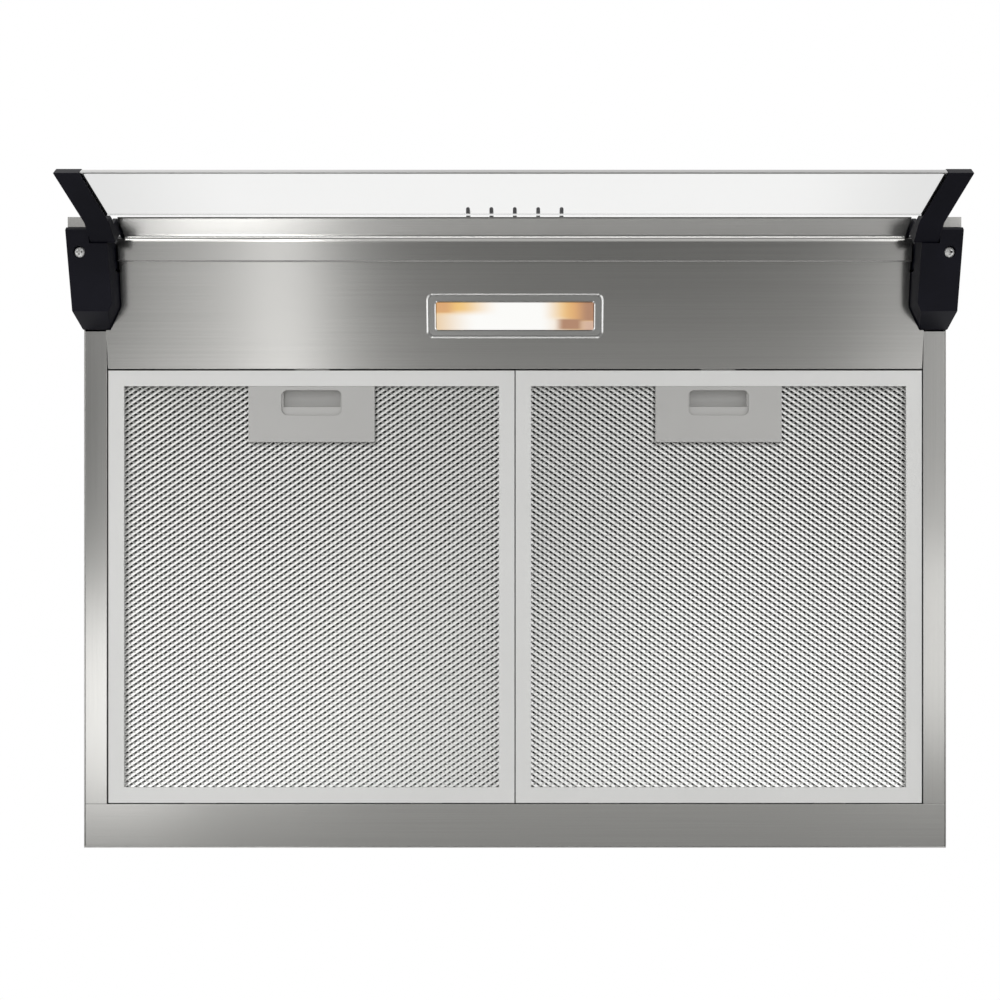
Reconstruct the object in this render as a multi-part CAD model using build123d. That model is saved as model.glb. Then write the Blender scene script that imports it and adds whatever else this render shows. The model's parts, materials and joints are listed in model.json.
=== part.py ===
"""Under cabinet range hood with a folding front visor, two grease filters and a duct collar.

Millimetres. +X is the right of a person who faces the hood, -Y is the front, +Z is up.
The origin is the middle of the four cabinet screw holes, on the outside of the top panel.
The visor is modelled open, hanging forward and down from its two hinge blocks.
"""
from build123d import *
import math
import os

# Body shell
hood_width = 600.0
body_height = 130.0
sheet = 1.0
rail_width = 16.0
rear_flange_depth = 30.5
front_panel_height = 100.0
post_depth = 7.0
post_width = 14.0

# Front underside: sloping light panel, flat flange and turned-down lip
light_panel_run = 74.4
light_panel_drop = 9.0
lip_flange_run = 13.6
lip_flange_drop = 1.5
lip_drop = 13.0
lip_run = 10.8
panel_lap = 1.5
panel_lap_gap = 0.5

# Cabinet screw holes, cable gland and duct collar
screw_spacing_x = 520.0
screw_spacing_y = 280.0
cabinet_hole_radius = 3.0
gland_gap = 35.0
gland_setback = 31.0
gland_radius = 8.0
gland_bore_radius = 4.0
gland_flange_radius = 12.0
gland_flange_height = 3.0
gland_length = 14.0
collar_y = 60.0
collar_radius = 59.4
collar_wall = 1.6
collar_height = 42.0
collar_flange_width = 12.0
collar_flange_height = 2.0
collar_screw_count = 4
collar_screw_radius = 1.9
collar_screw_head_radius = 3.6
collar_screw_head_height = 2.2
collar_screw_length = 8.0

# Backdraft damper inside the collar
damper_height = 9.0
damper_thickness = 1.2
damper_pin_radius = 1.5
damper_hub_radius = 3.0
damper_gap = 0.8
damper_ledge_width = 2.5
damper_ledge_height = 1.5
damper_pin_inset = 0.4

# Grease filters and their latches
filter_length = 301.0
filter_thickness = 9.0
filter_recess = 0.5
filter_side_gap = 0.8
filter_end_gap = 0.6
filter_middle_gap = 0.8
panel_gap = 1.1
frame_bar = 10.8
frame_lip = 1.2
frame_groove = 6.0
mesh_clearance = 0.1
hook_width = 22.0
hook_reach = 7.0
hook_thickness = 1.5
hook_inset = 62.0
hook_clearance = 0.3
ledge_height = 4.7
ledge_depth = 12.0
ledge_setback = 1.5
latch_plate_width = 88.0
latch_plate_length = 39.0
latch_plate_thickness = 1.0
grip_width = 42.0
grip_length = 17.5
grip_centre = 11.5
slider_width = 46.0
slider_length = 27.0
slider_thickness = 2.6
slider_clearance = 0.4
slider_grip_width = 40.0
slider_grip_length = 11.5
slider_travel = 6.0
tongue_width = 24.0
tongue_reach = 5.0

# Lamp
lamp_setback = 36.0
bezel_length = 122.0
bezel_depth = 30.4
bezel_height = 1.8
bezel_corner = 4.0
lamp_window_length = 109.0
lamp_window_depth = 19.0
bezel_wall = 1.5
bezel_neck_height = 5.0
lamp_clearance = 0.2
lens_thickness = 3.0
lens_seat = 0.5
reflector_length = 120.0
reflector_depth = 30.0
reflector_height = 33.0
holder_radius = 12.5
holder_length = 22.0
bulb_radius = 8.0
bulb_length = 66.0
lamp_axis_height = 18.0

# Push buttons and the switch bank behind them
button_count = 5
button_pitch = 16.0
button_width = 2.6
button_height = 8.0
button_reach = 11.0
button_above_lip = 13.0
button_travel = 3.0
button_clearance = 0.3
button_tip_radius = 1.25
button_tail = 2.5
stem_width = 2.0
stem_height = 3.0
stem_length = 7.5
bank_margin = 12.0
bank_depth = 16.0
bank_height = 17.6
bank_gap = 0.5
bank_ear = 6.0

# Visor hinge: pivot line, arms, hanging angle
visor_angle = 43.0
pivot_setback = 15.0
pivot_above_rail = 2.0
arm_offset = 22.0
arm_length = 66.0
arm_root = 20.0
arm_neck = 17.0
arm_rib_end = 27.5
arm_rib_top = 20.0
arm_rib_heel = 8.0
arm_rib_step = 8.0
arm_rib_width = 3.0
arm_rib_rise = 4.0
arm_width = 16.6
arm_thickness = 6.4
arm_splay = 9.6
arm_splay_start = 31.5
arm_inset = 15.8
hub_radius = 9.0
hub_width = 11.0
hub_gap = 0.4
pin_radius = 3.5
pin_clearance = 0.05
pin_head_radius = 5.5
pin_head_length = 2.6
pin_bite = 12.0
slot_clearance = 1.1

# Visor glass and its edge trim
glass_thickness = 4.0
glass_start = 36.0
glass_tuck = 5.0
glass_clearance = 0.1
glass_recess = 1.1
trim_width = 0.9

# Hinge blocks
block_front_drop = 29.0
block_ramp_drop = 18.4
block_tail_drop = 2.0
block_length = 64.2
block_ramp_length = 9.7
block_stop_length = 38.2
block_stop_width = 12.0
block_floor_gap = 0.8
block_boss_length = 58.0
block_boss_height = 18.0
block_nose = 2.0
block_taper_width = 8.0
block_taper_length = 15.0
block_gap = 0.5
gusset_thickness = 1.2
hinge_screw_inset = 8.0
hinge_screw_setback = 16.1
hinge_screw_radius = 2.0
hinge_screw_head_radius = 3.6
hinge_screw_head_height = 2.4
hinge_screw_sink = 2.8

# Blower
scroll_width = 124.0
scroll_span = 124.0
scroll_wall = 1.5
scroll_floor_gap = 3.0
impeller_radius = 40.0
impeller_length = 100.0
impeller_ring = 10.0
impeller_disc = 4.0
impeller_rim = 3.0
blade_count = 24
blade_thickness = 1.2
blade_pitch = 28.0
inlet_radius = 34.0
cutoff_gap = 5.0
cutoff_radius = 4.0
hub_boss_radius = 9.0
hub_boss_length = 16.0
shaft_radius = 4.0
shaft_clearance = 0.05
shaft_hole_radius = 6.0
motor_radius = 36.0
motor_length = 52.0
motor_cap_radius = 20.0
motor_cap_length = 8.0
motor_flange_radius = 44.0
motor_flange_thickness = 2.5
motor_screw_count = 4
motor_screw_radius = 2.0
motor_screw_head_radius = 3.8
motor_screw_head_height = 2.4

# Electrical boxes under the top panel
terminal_length = 84.0
terminal_depth = 52.0
terminal_height = 38.0
terminal_corner = 3.0
capacitor_length = 46.0
capacitor_depth = 30.0
capacitor_height = 26.0
box_margin = 26.0
terminal_inset = 60.0

# Places worked out from the sizes above
underside_rear = rear_flange_depth + filter_end_gap + filter_length + panel_gap
underside_front = light_panel_run + lip_flange_run + lip_run
hood_depth = underside_rear + underside_front
half_width = hood_width / 2
inner_x = half_width - sheet
front_y = -hood_depth / 2
rear_y = hood_depth / 2
rail_z = -body_height
rail_x = half_width - rail_width
flange_y = rear_y - rear_flange_depth
filter_rear_y = flange_y - filter_end_gap
filter_front_y = filter_rear_y - filter_length
panel_rear_y = filter_front_y - panel_gap
panel_front_y = panel_rear_y - light_panel_run
panel_front_z = rail_z - light_panel_drop
panel_slope = math.degrees(math.atan2(light_panel_drop, light_panel_run))
flange_rear_y = panel_front_y + panel_lap
flange_rear_z = panel_front_z - panel_lap_gap - sheet
lip_rear_y = panel_front_y - lip_flange_run
lip_rear_z = flange_rear_z - lip_flange_drop
lip_z = lip_rear_z - lip_drop
slot_top_z = -front_panel_height
pivot_y = front_y + pivot_setback
pivot_z = rail_z + pivot_above_rail
arm_outer_x = half_width - arm_inset
arm_inner_x = arm_outer_x - arm_width
hub_inner_x = arm_outer_x - hub_width
slot_inner_x = arm_inner_x - slot_clearance
cheek_x = arm_outer_x + hub_gap
stop_x = cheek_x - block_stop_width
block_front_y = front_y + post_depth + block_gap
block_rear_y = block_front_y + block_length
block_taper_y = block_rear_y - block_taper_length
terminal_x = -inner_x + terminal_inset
gland_x = terminal_x + terminal_length + gland_gap
gland_y = rear_y - gland_setback
filter_z = rail_z + filter_recess
filter_top_z = filter_z + filter_thickness
latch_x = (rail_x - filter_side_gap + filter_middle_gap / 2) / 2
fan_z = -sheet - (body_height - sheet - filter_recess - filter_thickness - scroll_floor_gap) / 2

# Visor axes: along the hanging arm, and out of its lower face
visor_turn = math.radians(visor_angle)
arm_dir = Vector(0, -math.cos(visor_turn), -math.sin(visor_turn))
face_dir = Vector(0, math.sin(visor_turn), -math.cos(visor_turn))
pivot = Vector(0, pivot_y, pivot_z)
arm_side = Plane(origin=pivot, x_dir=arm_dir, z_dir=Vector(1, 0, 0))
arm_plan = Plane(origin=pivot, x_dir=arm_dir, z_dir=face_dir)

parts = {}


def slab(x0, x1, y0, y1, z0, z1):
    """A box between two corners."""
    centre = Pos((x0 + x1) / 2, (y0 + y1) / 2, (z0 + z1) / 2)
    return centre * Box(abs(x1 - x0), abs(y1 - y0), abs(z1 - z0))


def side_prism(points, x0, x1):
    """A side outline of (Y, Z) points, drawn out along X from x0 to x1."""
    outline = make_face(Polyline(*points, close=True))
    return Pos(x0, 0, 0) * extrude(Plane.YZ * outline, x1 - x0)


def plan_prism(points, z0, z1):
    """A plan outline of (X, Y) points, drawn out along Z from z0 to z1."""
    outline = make_face(Polyline(*points, close=True))
    return Pos(0, 0, z0) * extrude(outline, z1 - z0, dir=(0, 0, 1))


def upright(radius, x, y, z0, z1):
    """A round bar along Z."""
    return Pos(x, y, (z0 + z1) / 2) * Cylinder(radius, z1 - z0)


def crossbar(radius, x0, x1, y, z):
    """A round bar along X."""
    return Pos((x0 + x1) / 2, y, z) * Rot(0, 90, 0) * Cylinder(radius, x1 - x0)


def mirrored(shape):
    """The same piece on the other side of the hood."""
    return mirror(shape, about=Plane.YZ)


def pair(name, shape):
    """Keep a right-hand piece and its left-hand twin."""
    parts["right_" + name] = shape
    parts["left_" + name] = mirrored(shape)


def both_sides(shape):
    """One group of a right-hand and a left-hand solid."""
    return Compound(children=[shape, mirrored(shape)])


# Body shell
def cabinet_holes():
    """The four round holes that hang the hood from a cabinet floor."""
    places = GridLocations(screw_spacing_x, screw_spacing_y, 2, 2)
    return [place * Cylinder(cabinet_hole_radius, 4 * sheet) for place in places]


def collar_screw_places():
    """Where the duct collar is screwed to the top panel."""
    circle = collar_radius + collar_flange_width / 2
    return Pos(0, collar_y, 0) * PolarLocations(circle, collar_screw_count, start_angle=45)


def make_top_panel():
    panel = slab(-inner_x, inner_x, front_y + sheet, rear_y - sheet, -sheet, 0)
    panel -= cabinet_holes()
    panel -= upright(collar_radius - collar_wall, 0, collar_y, -2 * sheet, sheet)
    panel -= upright(gland_radius + button_clearance, gland_x, gland_y, -2 * sheet, sheet)
    for place in collar_screw_places():
        panel -= place * Cylinder(collar_screw_radius + pin_clearance, 4 * sheet)
    return panel


def make_side_panel():
    outline = [
        (front_y + sheet, 0),
        (rear_y - sheet, 0),
        (rear_y - sheet, rail_z),
        (front_y + post_depth, rail_z),
        (front_y + post_depth, slot_top_z),
        (front_y + sheet, slot_top_z),
    ]
    return side_prism(outline, inner_x, half_width)


def make_front_post():
    return slab(half_width - post_width, half_width, front_y, front_y + post_depth, lip_z, slot_top_z)


def make_bottom_rail():
    rail_front_y = block_rear_y + filter_side_gap
    return slab(rail_x, inner_x, rail_front_y, flange_y, rail_z, rail_z + sheet)


def make_filter_ledge():
    ledge_y = flange_y + ledge_setback
    ledge_z = rail_z + sheet
    return slab(-rail_x, rail_x, ledge_y, ledge_y + ledge_depth, ledge_z, ledge_z + ledge_height)


def button_places():
    """The X place of each push button."""
    first = -(button_count - 1) * button_pitch / 2
    return [first + i * button_pitch for i in range(button_count)]


button_z = lip_z + button_above_lip
button_top_z = button_z + button_height


def make_control_fascia():
    fascia = slab(-slot_inner_x, slot_inner_x, front_y, front_y + sheet, lip_z, slot_top_z)
    for x in button_places():
        half = button_width / 2 + button_clearance
        fascia -= slab(
            x - half,
            x + half,
            front_y - sheet,
            front_y + 2 * sheet,
            button_z - button_clearance,
            button_top_z + button_clearance,
        )
    return fascia


def make_front_lip():
    fascia_y = front_y + sheet
    rise = sheet * math.hypot(lip_drop, lip_rear_y - fascia_y) / abs(lip_rear_y - fascia_y)
    outline = [
        (lip_rear_y, lip_rear_z),
        (fascia_y, lip_z),
        (fascia_y, lip_z + rise),
        (lip_rear_y, lip_rear_z + rise),
    ]
    return side_prism(outline, -slot_inner_x, slot_inner_x)


def make_lip_flange():
    outline = [
        (flange_rear_y, flange_rear_z),
        (lip_rear_y, lip_rear_z),
        (lip_rear_y, lip_rear_z + sheet),
        (flange_rear_y, flange_rear_z + sheet),
    ]
    half = stop_x - block_gap
    return side_prism(outline, -half, half)


# Lamp, built on the slope of the light panel
lamp_y = panel_rear_y - lamp_setback
lamp_z = rail_z - lamp_setback * math.tan(math.radians(panel_slope))
lamp_place = Location((0, lamp_y, lamp_z), (panel_slope, 0, 0))
neck_length = lamp_window_length + 2 * bezel_wall
neck_depth = lamp_window_depth + 2 * bezel_wall


def lamp_block(length, depth, z0, z1):
    """A box on the lamp's own axes."""
    return lamp_place * Pos(0, 0, (z0 + z1) / 2) * Box(length, depth, z1 - z0)


def make_light_panel():
    outline = [
        (panel_rear_y, rail_z),
        (panel_rear_y, rail_z + sheet),
        (panel_front_y, panel_front_z + sheet),
        (panel_front_y, panel_front_z),
    ]
    side = rail_x - filter_side_gap
    panel = side_prism(outline, -side, side)
    corner_y = block_rear_y + block_gap
    corner_x = stop_x - block_gap
    plan = [
        (corner_x, panel_front_y - sheet),
        (corner_x, block_taper_y),
        (corner_x + block_taper_width, corner_y),
        (half_width, corner_y),
        (half_width, panel_front_y - sheet),
    ]
    corner = plan_prism(plan, 2 * panel_front_z, 0)
    panel -= [corner, mirrored(corner)]
    opening = 2 * lamp_clearance
    return panel - lamp_block(neck_length + opening, neck_depth + opening, -2 * sheet, 4 * sheet)


def make_lamp_bezel():
    flat = RectangleRounded(bezel_length, bezel_depth, bezel_corner)
    rim = Pos(0, 0, -bezel_height) * extrude(flat, bezel_height)
    bezel = lamp_place * rim + lamp_block(neck_length, neck_depth, 0, bezel_neck_height)
    window = lamp_block(lamp_window_length, lamp_window_depth, -2 * bezel_height, 2 * bezel_neck_height)
    return bezel - window


def make_lamp_lens():
    length = lamp_window_length - 2 * lamp_clearance
    depth = lamp_window_depth - 2 * lamp_clearance
    return lamp_block(length, depth, lens_seat, lens_seat + lens_thickness)


def make_lamp_reflector():
    shell = lamp_block(reflector_length, reflector_depth, sheet, sheet + reflector_height)
    inside_length = reflector_length - 2 * sheet
    inside_depth = reflector_depth - 2 * sheet
    return shell - lamp_block(inside_length, inside_depth, 0, reflector_height)


def lamp_bar(radius, x0, x1):
    """A round bar along X on the bulb's axis."""
    middle = Pos((x0 + x1) / 2, 0, lamp_axis_height)
    return lamp_place * middle * Rot(0, 90, 0) * Cylinder(radius, x1 - x0)


holder_x = -reflector_length / 2 + sheet
bulb_x = holder_x + holder_length


def make_lamp_bulb():
    tip_x = bulb_x + bulb_length - bulb_radius
    tip = lamp_place * Pos(tip_x, 0, lamp_axis_height) * Sphere(bulb_radius)
    return lamp_bar(bulb_radius, bulb_x, tip_x) + tip


# Visor and its hinge blocks
block_slope = (block_front_drop - block_ramp_drop) / (block_length - block_ramp_length)


def block_base_z(y):
    """The level of a hinge block's sloping lower face."""
    return rail_z - block_front_drop + block_slope * (y - block_front_y)


def block_outline(front):
    """The side outline of a hinge block below the rails, from a given front edge."""
    base_z = block_base_z(front)
    ramp_y = block_rear_y - block_ramp_length
    return [
        (front, rail_z),
        (front, base_z + block_nose),
        (front + block_nose, base_z + block_slope * block_nose),
        (ramp_y, rail_z - block_ramp_drop),
        (block_rear_y, rail_z - block_tail_drop),
        (block_rear_y, rail_z),
    ]


stop_front_y = block_rear_y - block_stop_length
hinge_screw_x = half_width - hinge_screw_inset
hinge_screw_y = block_front_y + hinge_screw_setback
gusset_z = rail_z + block_boss_height


def hinge_screw_seat_z():
    """The level of the hinge screw's head, sunk into the sloping face of the block."""
    return block_base_z(hinge_screw_y) + hinge_screw_sink


def block_floor():
    """The wedge under an arm's root, just clear of the lowest path of the arm."""
    depth = arm_offset + block_floor_gap
    front = pivot + arm_dir * arm_neck + face_dir * depth
    rear = pivot - arm_dir * (hub_radius / 3) + face_dir * depth
    stop_y = stop_front_y + block_nose
    outline = [
        (front.Y, front.Z),
        (rear.Y, rear.Z),
        (stop_y, rear.Z),
        (stop_y, block_base_z(stop_y)),
        (front.Y, block_base_z(front.Y)),
    ]
    return side_prism(outline, stop_x, cheek_x)


def make_hinge_block():
    cheek = side_prism(block_outline(block_front_y), cheek_x, half_width)
    stop = side_prism(block_outline(stop_front_y), stop_x, cheek_x) + block_floor()
    taper = [(stop_x, block_taper_y), (stop_x + block_taper_width, block_rear_y), (stop_x, block_rear_y)]
    stop -= plan_prism(taper, rail_z - 2 * block_front_drop, rail_z)
    boss_rear_y = block_front_y + block_boss_length
    boss = slab(cheek_x, inner_x - pin_clearance, block_front_y, boss_rear_y, rail_z, gusset_z)
    block = cheek + stop + boss
    block -= crossbar(pin_radius + pin_clearance, cheek_x - sheet, cheek_x + pin_bite, pivot_y, pivot_z)
    seat_z = hinge_screw_seat_z()
    head_radius = hinge_screw_head_radius + button_clearance
    block -= upright(head_radius, hinge_screw_x, hinge_screw_y, rail_z - 2 * block_front_drop, seat_z)
    thread_radius = hinge_screw_radius + pin_clearance
    return block - upright(thread_radius, hinge_screw_x, hinge_screw_y, seat_z - sheet, 0)


def make_corner_gusset():
    rear = block_front_y + block_boss_length
    plate = slab(cheek_x, inner_x, block_front_y, rear, gusset_z, gusset_z + gusset_thickness)
    hole_radius = hinge_screw_radius + pin_clearance
    return plate - upright(hole_radius, hinge_screw_x, hinge_screw_y, gusset_z - sheet, 0)


def make_hinge_screw():
    seat_z = hinge_screw_seat_z()
    top_z = gusset_z + gusset_thickness + hinge_screw_head_height
    shank = upright(hinge_screw_radius, hinge_screw_x, hinge_screw_y, seat_z, top_z)
    head_z = seat_z - hinge_screw_head_height
    head = upright(hinge_screw_head_radius, hinge_screw_x, hinge_screw_y, head_z, seat_z)
    return shank + head


def make_hinge_pin():
    head_x = hub_inner_x - hub_gap
    shank = crossbar(pin_radius, head_x, cheek_x + pin_bite, pivot_y, pivot_z)
    return shank + crossbar(pin_head_radius, head_x - pin_head_length, head_x, pivot_y, pivot_z)


def splay_at(along):
    """How far an arm has moved outwards at a distance along it."""
    return arm_splay * max(0, along - arm_splay_start) / (arm_length - arm_splay_start)


glass_outer = arm_offset - glass_recess
glass_inner = glass_outer - glass_thickness


def visor_plate(outline, low, high):
    """A flat outline of (along, X) points on the visor, between two depths from the pivot line."""
    points = [(along, -x) for along, x in outline]
    flat = make_face(Polyline(*points, close=True))
    return arm_plan * Pos(0, 0, low) * extrude(flat, high - low)


def glass_outline(start, end, tuck):
    """The visor glass between two distances along the arms, tucked into both."""
    half_start = arm_inner_x + splay_at(start) + tuck
    half_end = arm_inner_x + splay_at(end) + tuck
    return [(start, half_start), (end, half_end), (end, -half_end), (start, -half_start)]


glass_end = arm_length - trim_width - glass_clearance


def make_visor_arm():
    back = -hub_radius
    root = [
        (back, 0),
        (back, arm_offset * 0.6),
        (back / 3, arm_offset),
        (arm_root, arm_offset),
        (arm_root, arm_offset - arm_thickness),
        (hub_radius, hub_radius),
        (hub_radius, 0),
    ]
    crank = extrude(arm_side * make_face(Polyline(*root, close=True)), hub_width)
    hub = crossbar(hub_radius, 0, hub_width, pivot_y, pivot_z)
    arm = Pos(hub_inner_x, 0, 0) * (crank + hub)
    rib = [
        (arm_neck, arm_offset),
        (arm_rib_end, arm_offset),
        (arm_rib_end, arm_rib_step),
        (arm_rib_top, -arm_rib_rise),
        (arm_rib_heel, -arm_rib_rise),
        (arm_rib_heel, arm_rib_rise / 2),
        (arm_neck, arm_rib_step),
    ]
    rib_side = extrude(arm_side * make_face(Polyline(*rib, close=True)), arm_rib_width)
    tip = arm_splay
    beam = [
        (0, hub_inner_x),
        (arm_neck, hub_inner_x),
        (arm_neck, arm_inner_x),
        (arm_splay_start, arm_inner_x),
        (arm_length, arm_inner_x + tip),
        (arm_length, arm_outer_x + tip),
        (arm_splay_start, arm_outer_x),
        (0, arm_outer_x),
    ]
    arm += visor_plate(beam, arm_offset - arm_thickness, arm_offset) + Pos(arm_inner_x, 0, 0) * rib_side
    groove = glass_outline(glass_start - glass_clearance, glass_end + glass_clearance, glass_tuck)
    arm -= visor_plate(groove, glass_inner - glass_clearance, glass_outer + glass_clearance)
    bore = crossbar(pin_radius + pin_clearance, arm_inner_x - sheet, arm_outer_x + sheet, pivot_y, pivot_z)
    return arm - bore


def make_visor_glass():
    tuck = glass_tuck - glass_clearance
    return visor_plate(glass_outline(glass_start, glass_end, tuck), glass_inner, glass_outer)


def make_visor_trim():
    outline = glass_outline(arm_length - trim_width, arm_length, 0)
    return visor_plate(outline, glass_inner, glass_outer)


# Push buttons
stem_z = button_top_z - stem_height
bank_front_y = front_y + sheet + button_tail + button_travel + bank_gap
bank_half = (button_count - 1) * button_pitch / 2 + bank_margin


def make_button(x):
    half = button_width / 2
    tail_y = front_y + sheet + button_tail
    blade = slab(x - half, x + half, front_y - button_reach, tail_y, button_z, button_top_z)
    tip_edges = blade.edges().filter_by(Axis.Z).group_by(Axis.Y)[0]
    blade = fillet(tip_edges, button_tip_radius)
    stem = slab(x - stem_width / 2, x + stem_width / 2, tail_y, tail_y + stem_length, stem_z, button_top_z)
    return blade + stem


def make_switch_bank():
    low = stem_z - 2 * button_clearance
    high = low + bank_height
    bank_rear_y = bank_front_y + bank_depth
    bank = slab(-bank_half, bank_half, bank_front_y, bank_rear_y, low, high)
    ear = slab(bank_half, bank_half + bank_ear, front_y + sheet, bank_rear_y, low, high)
    bank += [ear, mirrored(ear)]
    half = stem_width / 2 + button_clearance
    hole_rear_y = front_y + sheet + button_tail + stem_length + button_travel + bank_gap
    for x in button_places():
        bank -= slab(
            x - half,
            x + half,
            bank_front_y - sheet,
            hole_rear_y,
            stem_z - button_clearance,
            button_top_z + button_clearance,
        )
    return bank


# Grease filters
def make_filter_frame():
    x0 = filter_middle_gap / 2
    x1 = rail_x - filter_side_gap
    frame = slab(x0, x1, filter_front_y, filter_rear_y, filter_z, filter_top_z)
    window_y0 = filter_front_y + frame_bar
    window_y1 = filter_rear_y - frame_bar
    frame -= slab(x0 + frame_bar, x1 - frame_bar, window_y0, window_y1, filter_z - 1, filter_top_z + 1)
    frame -= slab(
        x0 + frame_bar - frame_groove,
        x1 - frame_bar + frame_groove,
        window_y0 - frame_groove,
        window_y1 + frame_groove,
        filter_z + frame_lip,
        filter_top_z - frame_lip,
    )
    slot_half = tongue_width / 2 + slider_clearance
    frame -= slab(
        latch_x - slot_half,
        latch_x + slot_half,
        filter_front_y - 1,
        window_y0,
        slider_z - slider_clearance,
        slider_z + slider_thickness + slider_clearance,
    )
    hook_z = rail_z + sheet + ledge_height + hook_clearance
    for x in (x0 + hook_inset, x1 - hook_inset):
        frame += slab(
            x - hook_width / 2,
            x + hook_width / 2,
            filter_rear_y - frame_bar + frame_groove,
            filter_rear_y + hook_reach,
            hook_z,
            hook_z + hook_thickness,
        )
    return frame


mesh_z = filter_z + frame_lip + mesh_clearance
mesh_top_z = filter_top_z - frame_lip - mesh_clearance
slider_z = mesh_z + slider_clearance
latch_plate_y = filter_front_y + frame_bar
slider_y = latch_plate_y + slider_clearance
slider_rear_y = slider_y + slider_length


def make_filter_mesh():
    tuck = frame_bar - frame_groove + mesh_clearance
    x0 = filter_middle_gap / 2 + tuck
    x1 = rail_x - filter_side_gap - tuck
    low = slider_z + slider_thickness + slider_clearance
    return slab(x0, x1, filter_front_y + tuck, filter_rear_y - tuck, low, mesh_top_z)


def make_latch_plate():
    half = latch_plate_width / 2
    rear = latch_plate_y + latch_plate_length
    low = mesh_z - mesh_clearance - latch_plate_thickness
    plate = slab(latch_x - half, latch_x + half, latch_plate_y, rear, low, mesh_z - mesh_clearance)
    grip = RectangleRounded(grip_width, grip_length, grip_length / 4)
    hole = Pos(latch_x, latch_plate_y + grip_centre, low - 1) * extrude(grip, latch_plate_thickness + 2)
    return plate - hole


def make_latch_slider():
    half = slider_width / 2
    top_z = slider_z + slider_thickness
    slider = slab(latch_x - half, latch_x + half, slider_y, slider_rear_y, slider_z, top_z)
    tongue_half = tongue_width / 2
    tip_y = filter_front_y - tongue_reach
    slider += slab(latch_x - tongue_half, latch_x + tongue_half, tip_y, slider_y, slider_z, top_z)
    grip_y = latch_plate_y + grip_centre - grip_length / 2
    grip_half = slider_grip_width / 2
    return slider - slab(
        latch_x - grip_half,
        latch_x + grip_half,
        grip_y,
        grip_y + slider_grip_length,
        slider_z - 1,
        top_z + 1,
    )


# Duct collar and damper
def collar_ring(outer, inner, z0, z1):
    """A round ring about the duct's axis."""
    return upright(outer, 0, collar_y, z0, z1) - upright(inner, 0, collar_y, z0 - 1, z1 + 1)


collar_bore = collar_radius - collar_wall
damper_radius = collar_bore - damper_gap


def make_collar_flange():
    flange = collar_ring(collar_radius + collar_flange_width, collar_bore, 0, collar_flange_height)
    for place in collar_screw_places():
        flange -= place * Cylinder(collar_screw_radius + pin_clearance, 4 * collar_flange_height)
    return flange


def make_duct_collar():
    collar = collar_ring(collar_radius, collar_bore, collar_flange_height, collar_height)
    ledge_top = damper_height - damper_thickness / 2 - hook_clearance
    ledge = collar_ring(collar_bore, collar_bore - damper_ledge_width, ledge_top - damper_ledge_height, ledge_top)
    pin_room = crossbar(damper_hub_radius + damper_gap, -collar_radius, collar_radius, collar_y, damper_height)
    collar += ledge - pin_room
    reach = collar_radius + 1
    return collar - crossbar(damper_pin_radius + pin_clearance, -reach, reach, collar_y, damper_height)


def make_collar_screws():
    screws = []
    for place in collar_screw_places():
        bottom = collar_flange_height - collar_screw_length
        shank = Pos(0, 0, bottom + collar_screw_length / 2) * Cylinder(collar_screw_radius, collar_screw_length)
        head_middle = collar_flange_height + collar_screw_head_height / 2
        head = Pos(0, 0, head_middle) * Cylinder(collar_screw_head_radius, collar_screw_head_height)
        screws.append(place * (shank + head))
    return Compound(children=screws)


def make_damper_flap(side):
    """One half of the damper: side is -1 for the front half and 1 for the rear half."""
    low = damper_height - damper_thickness / 2
    disc = upright(damper_radius, 0, collar_y, low, low + damper_thickness)
    keep_y = collar_y + side * (damper_hub_radius + damper_gap)
    far_y = collar_y + side * 2 * damper_radius
    reach = damper_radius - damper_hub_radius
    disc &= slab(-2 * damper_radius, 2 * damper_radius, keep_y, far_y, 0, collar_height)
    middle = side * reach / 2
    half = reach / 2 - damper_gap
    hub = crossbar(damper_hub_radius, middle - half, middle + half, collar_y, damper_height)
    tab_y = keep_y + side * damper_thickness
    tab = slab(middle - half, middle + half, collar_y, tab_y, low, low + damper_thickness)
    bore = crossbar(damper_pin_radius + pin_clearance, -reach, reach, collar_y, damper_height)
    return disc + hub + tab - bore


# Blower
plate_x = scroll_width / 2
fan_axis_y = collar_y
scroll_outer = scroll_span / 2
scroll_floor = -fan_z - sheet


def u_outline(wall_in):
    """A trough: straight walls down to the fan's axis and a round floor under it."""
    half = scroll_outer - wall_in
    depth = scroll_floor - wall_in
    floor = EllipticalCenterArc((fan_axis_y, fan_z), half, depth, start_angle=180, arc_size=180)
    top = -sheet
    walls = Polyline(
        (fan_axis_y + half, fan_z),
        (fan_axis_y + half, top),
        (fan_axis_y - half, top),
        (fan_axis_y - half, fan_z),
    )
    return make_face(floor + walls)


def make_scroll_wall():
    inner_half = plate_x - scroll_wall
    outer = Pos(-inner_half, 0, 0) * extrude(Plane.YZ * u_outline(0), 2 * inner_half)
    inner = Pos(-plate_x, 0, 0) * extrude(Plane.YZ * u_outline(scroll_wall), 2 * plate_x)
    wall_y = fan_axis_y - scroll_outer + scroll_wall
    tip_y = fan_axis_y - impeller_radius - cutoff_gap - cutoff_radius
    lip = slab(-inner_half, inner_half, wall_y, tip_y, fan_z - cutoff_radius, fan_z + cutoff_radius)
    nose = crossbar(cutoff_radius, -inner_half, inner_half, tip_y, fan_z)
    return outer - inner + lip + nose


def motor_screw_places():
    """The (Y, Z) places of the motor's screws."""
    circle = (motor_radius + motor_flange_radius) / 2
    step = 2 * math.pi / motor_screw_count
    turns = [step * (i + 0.5) for i in range(motor_screw_count)]
    return [(fan_axis_y + circle * math.cos(a), fan_z + circle * math.sin(a)) for a in turns]


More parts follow.
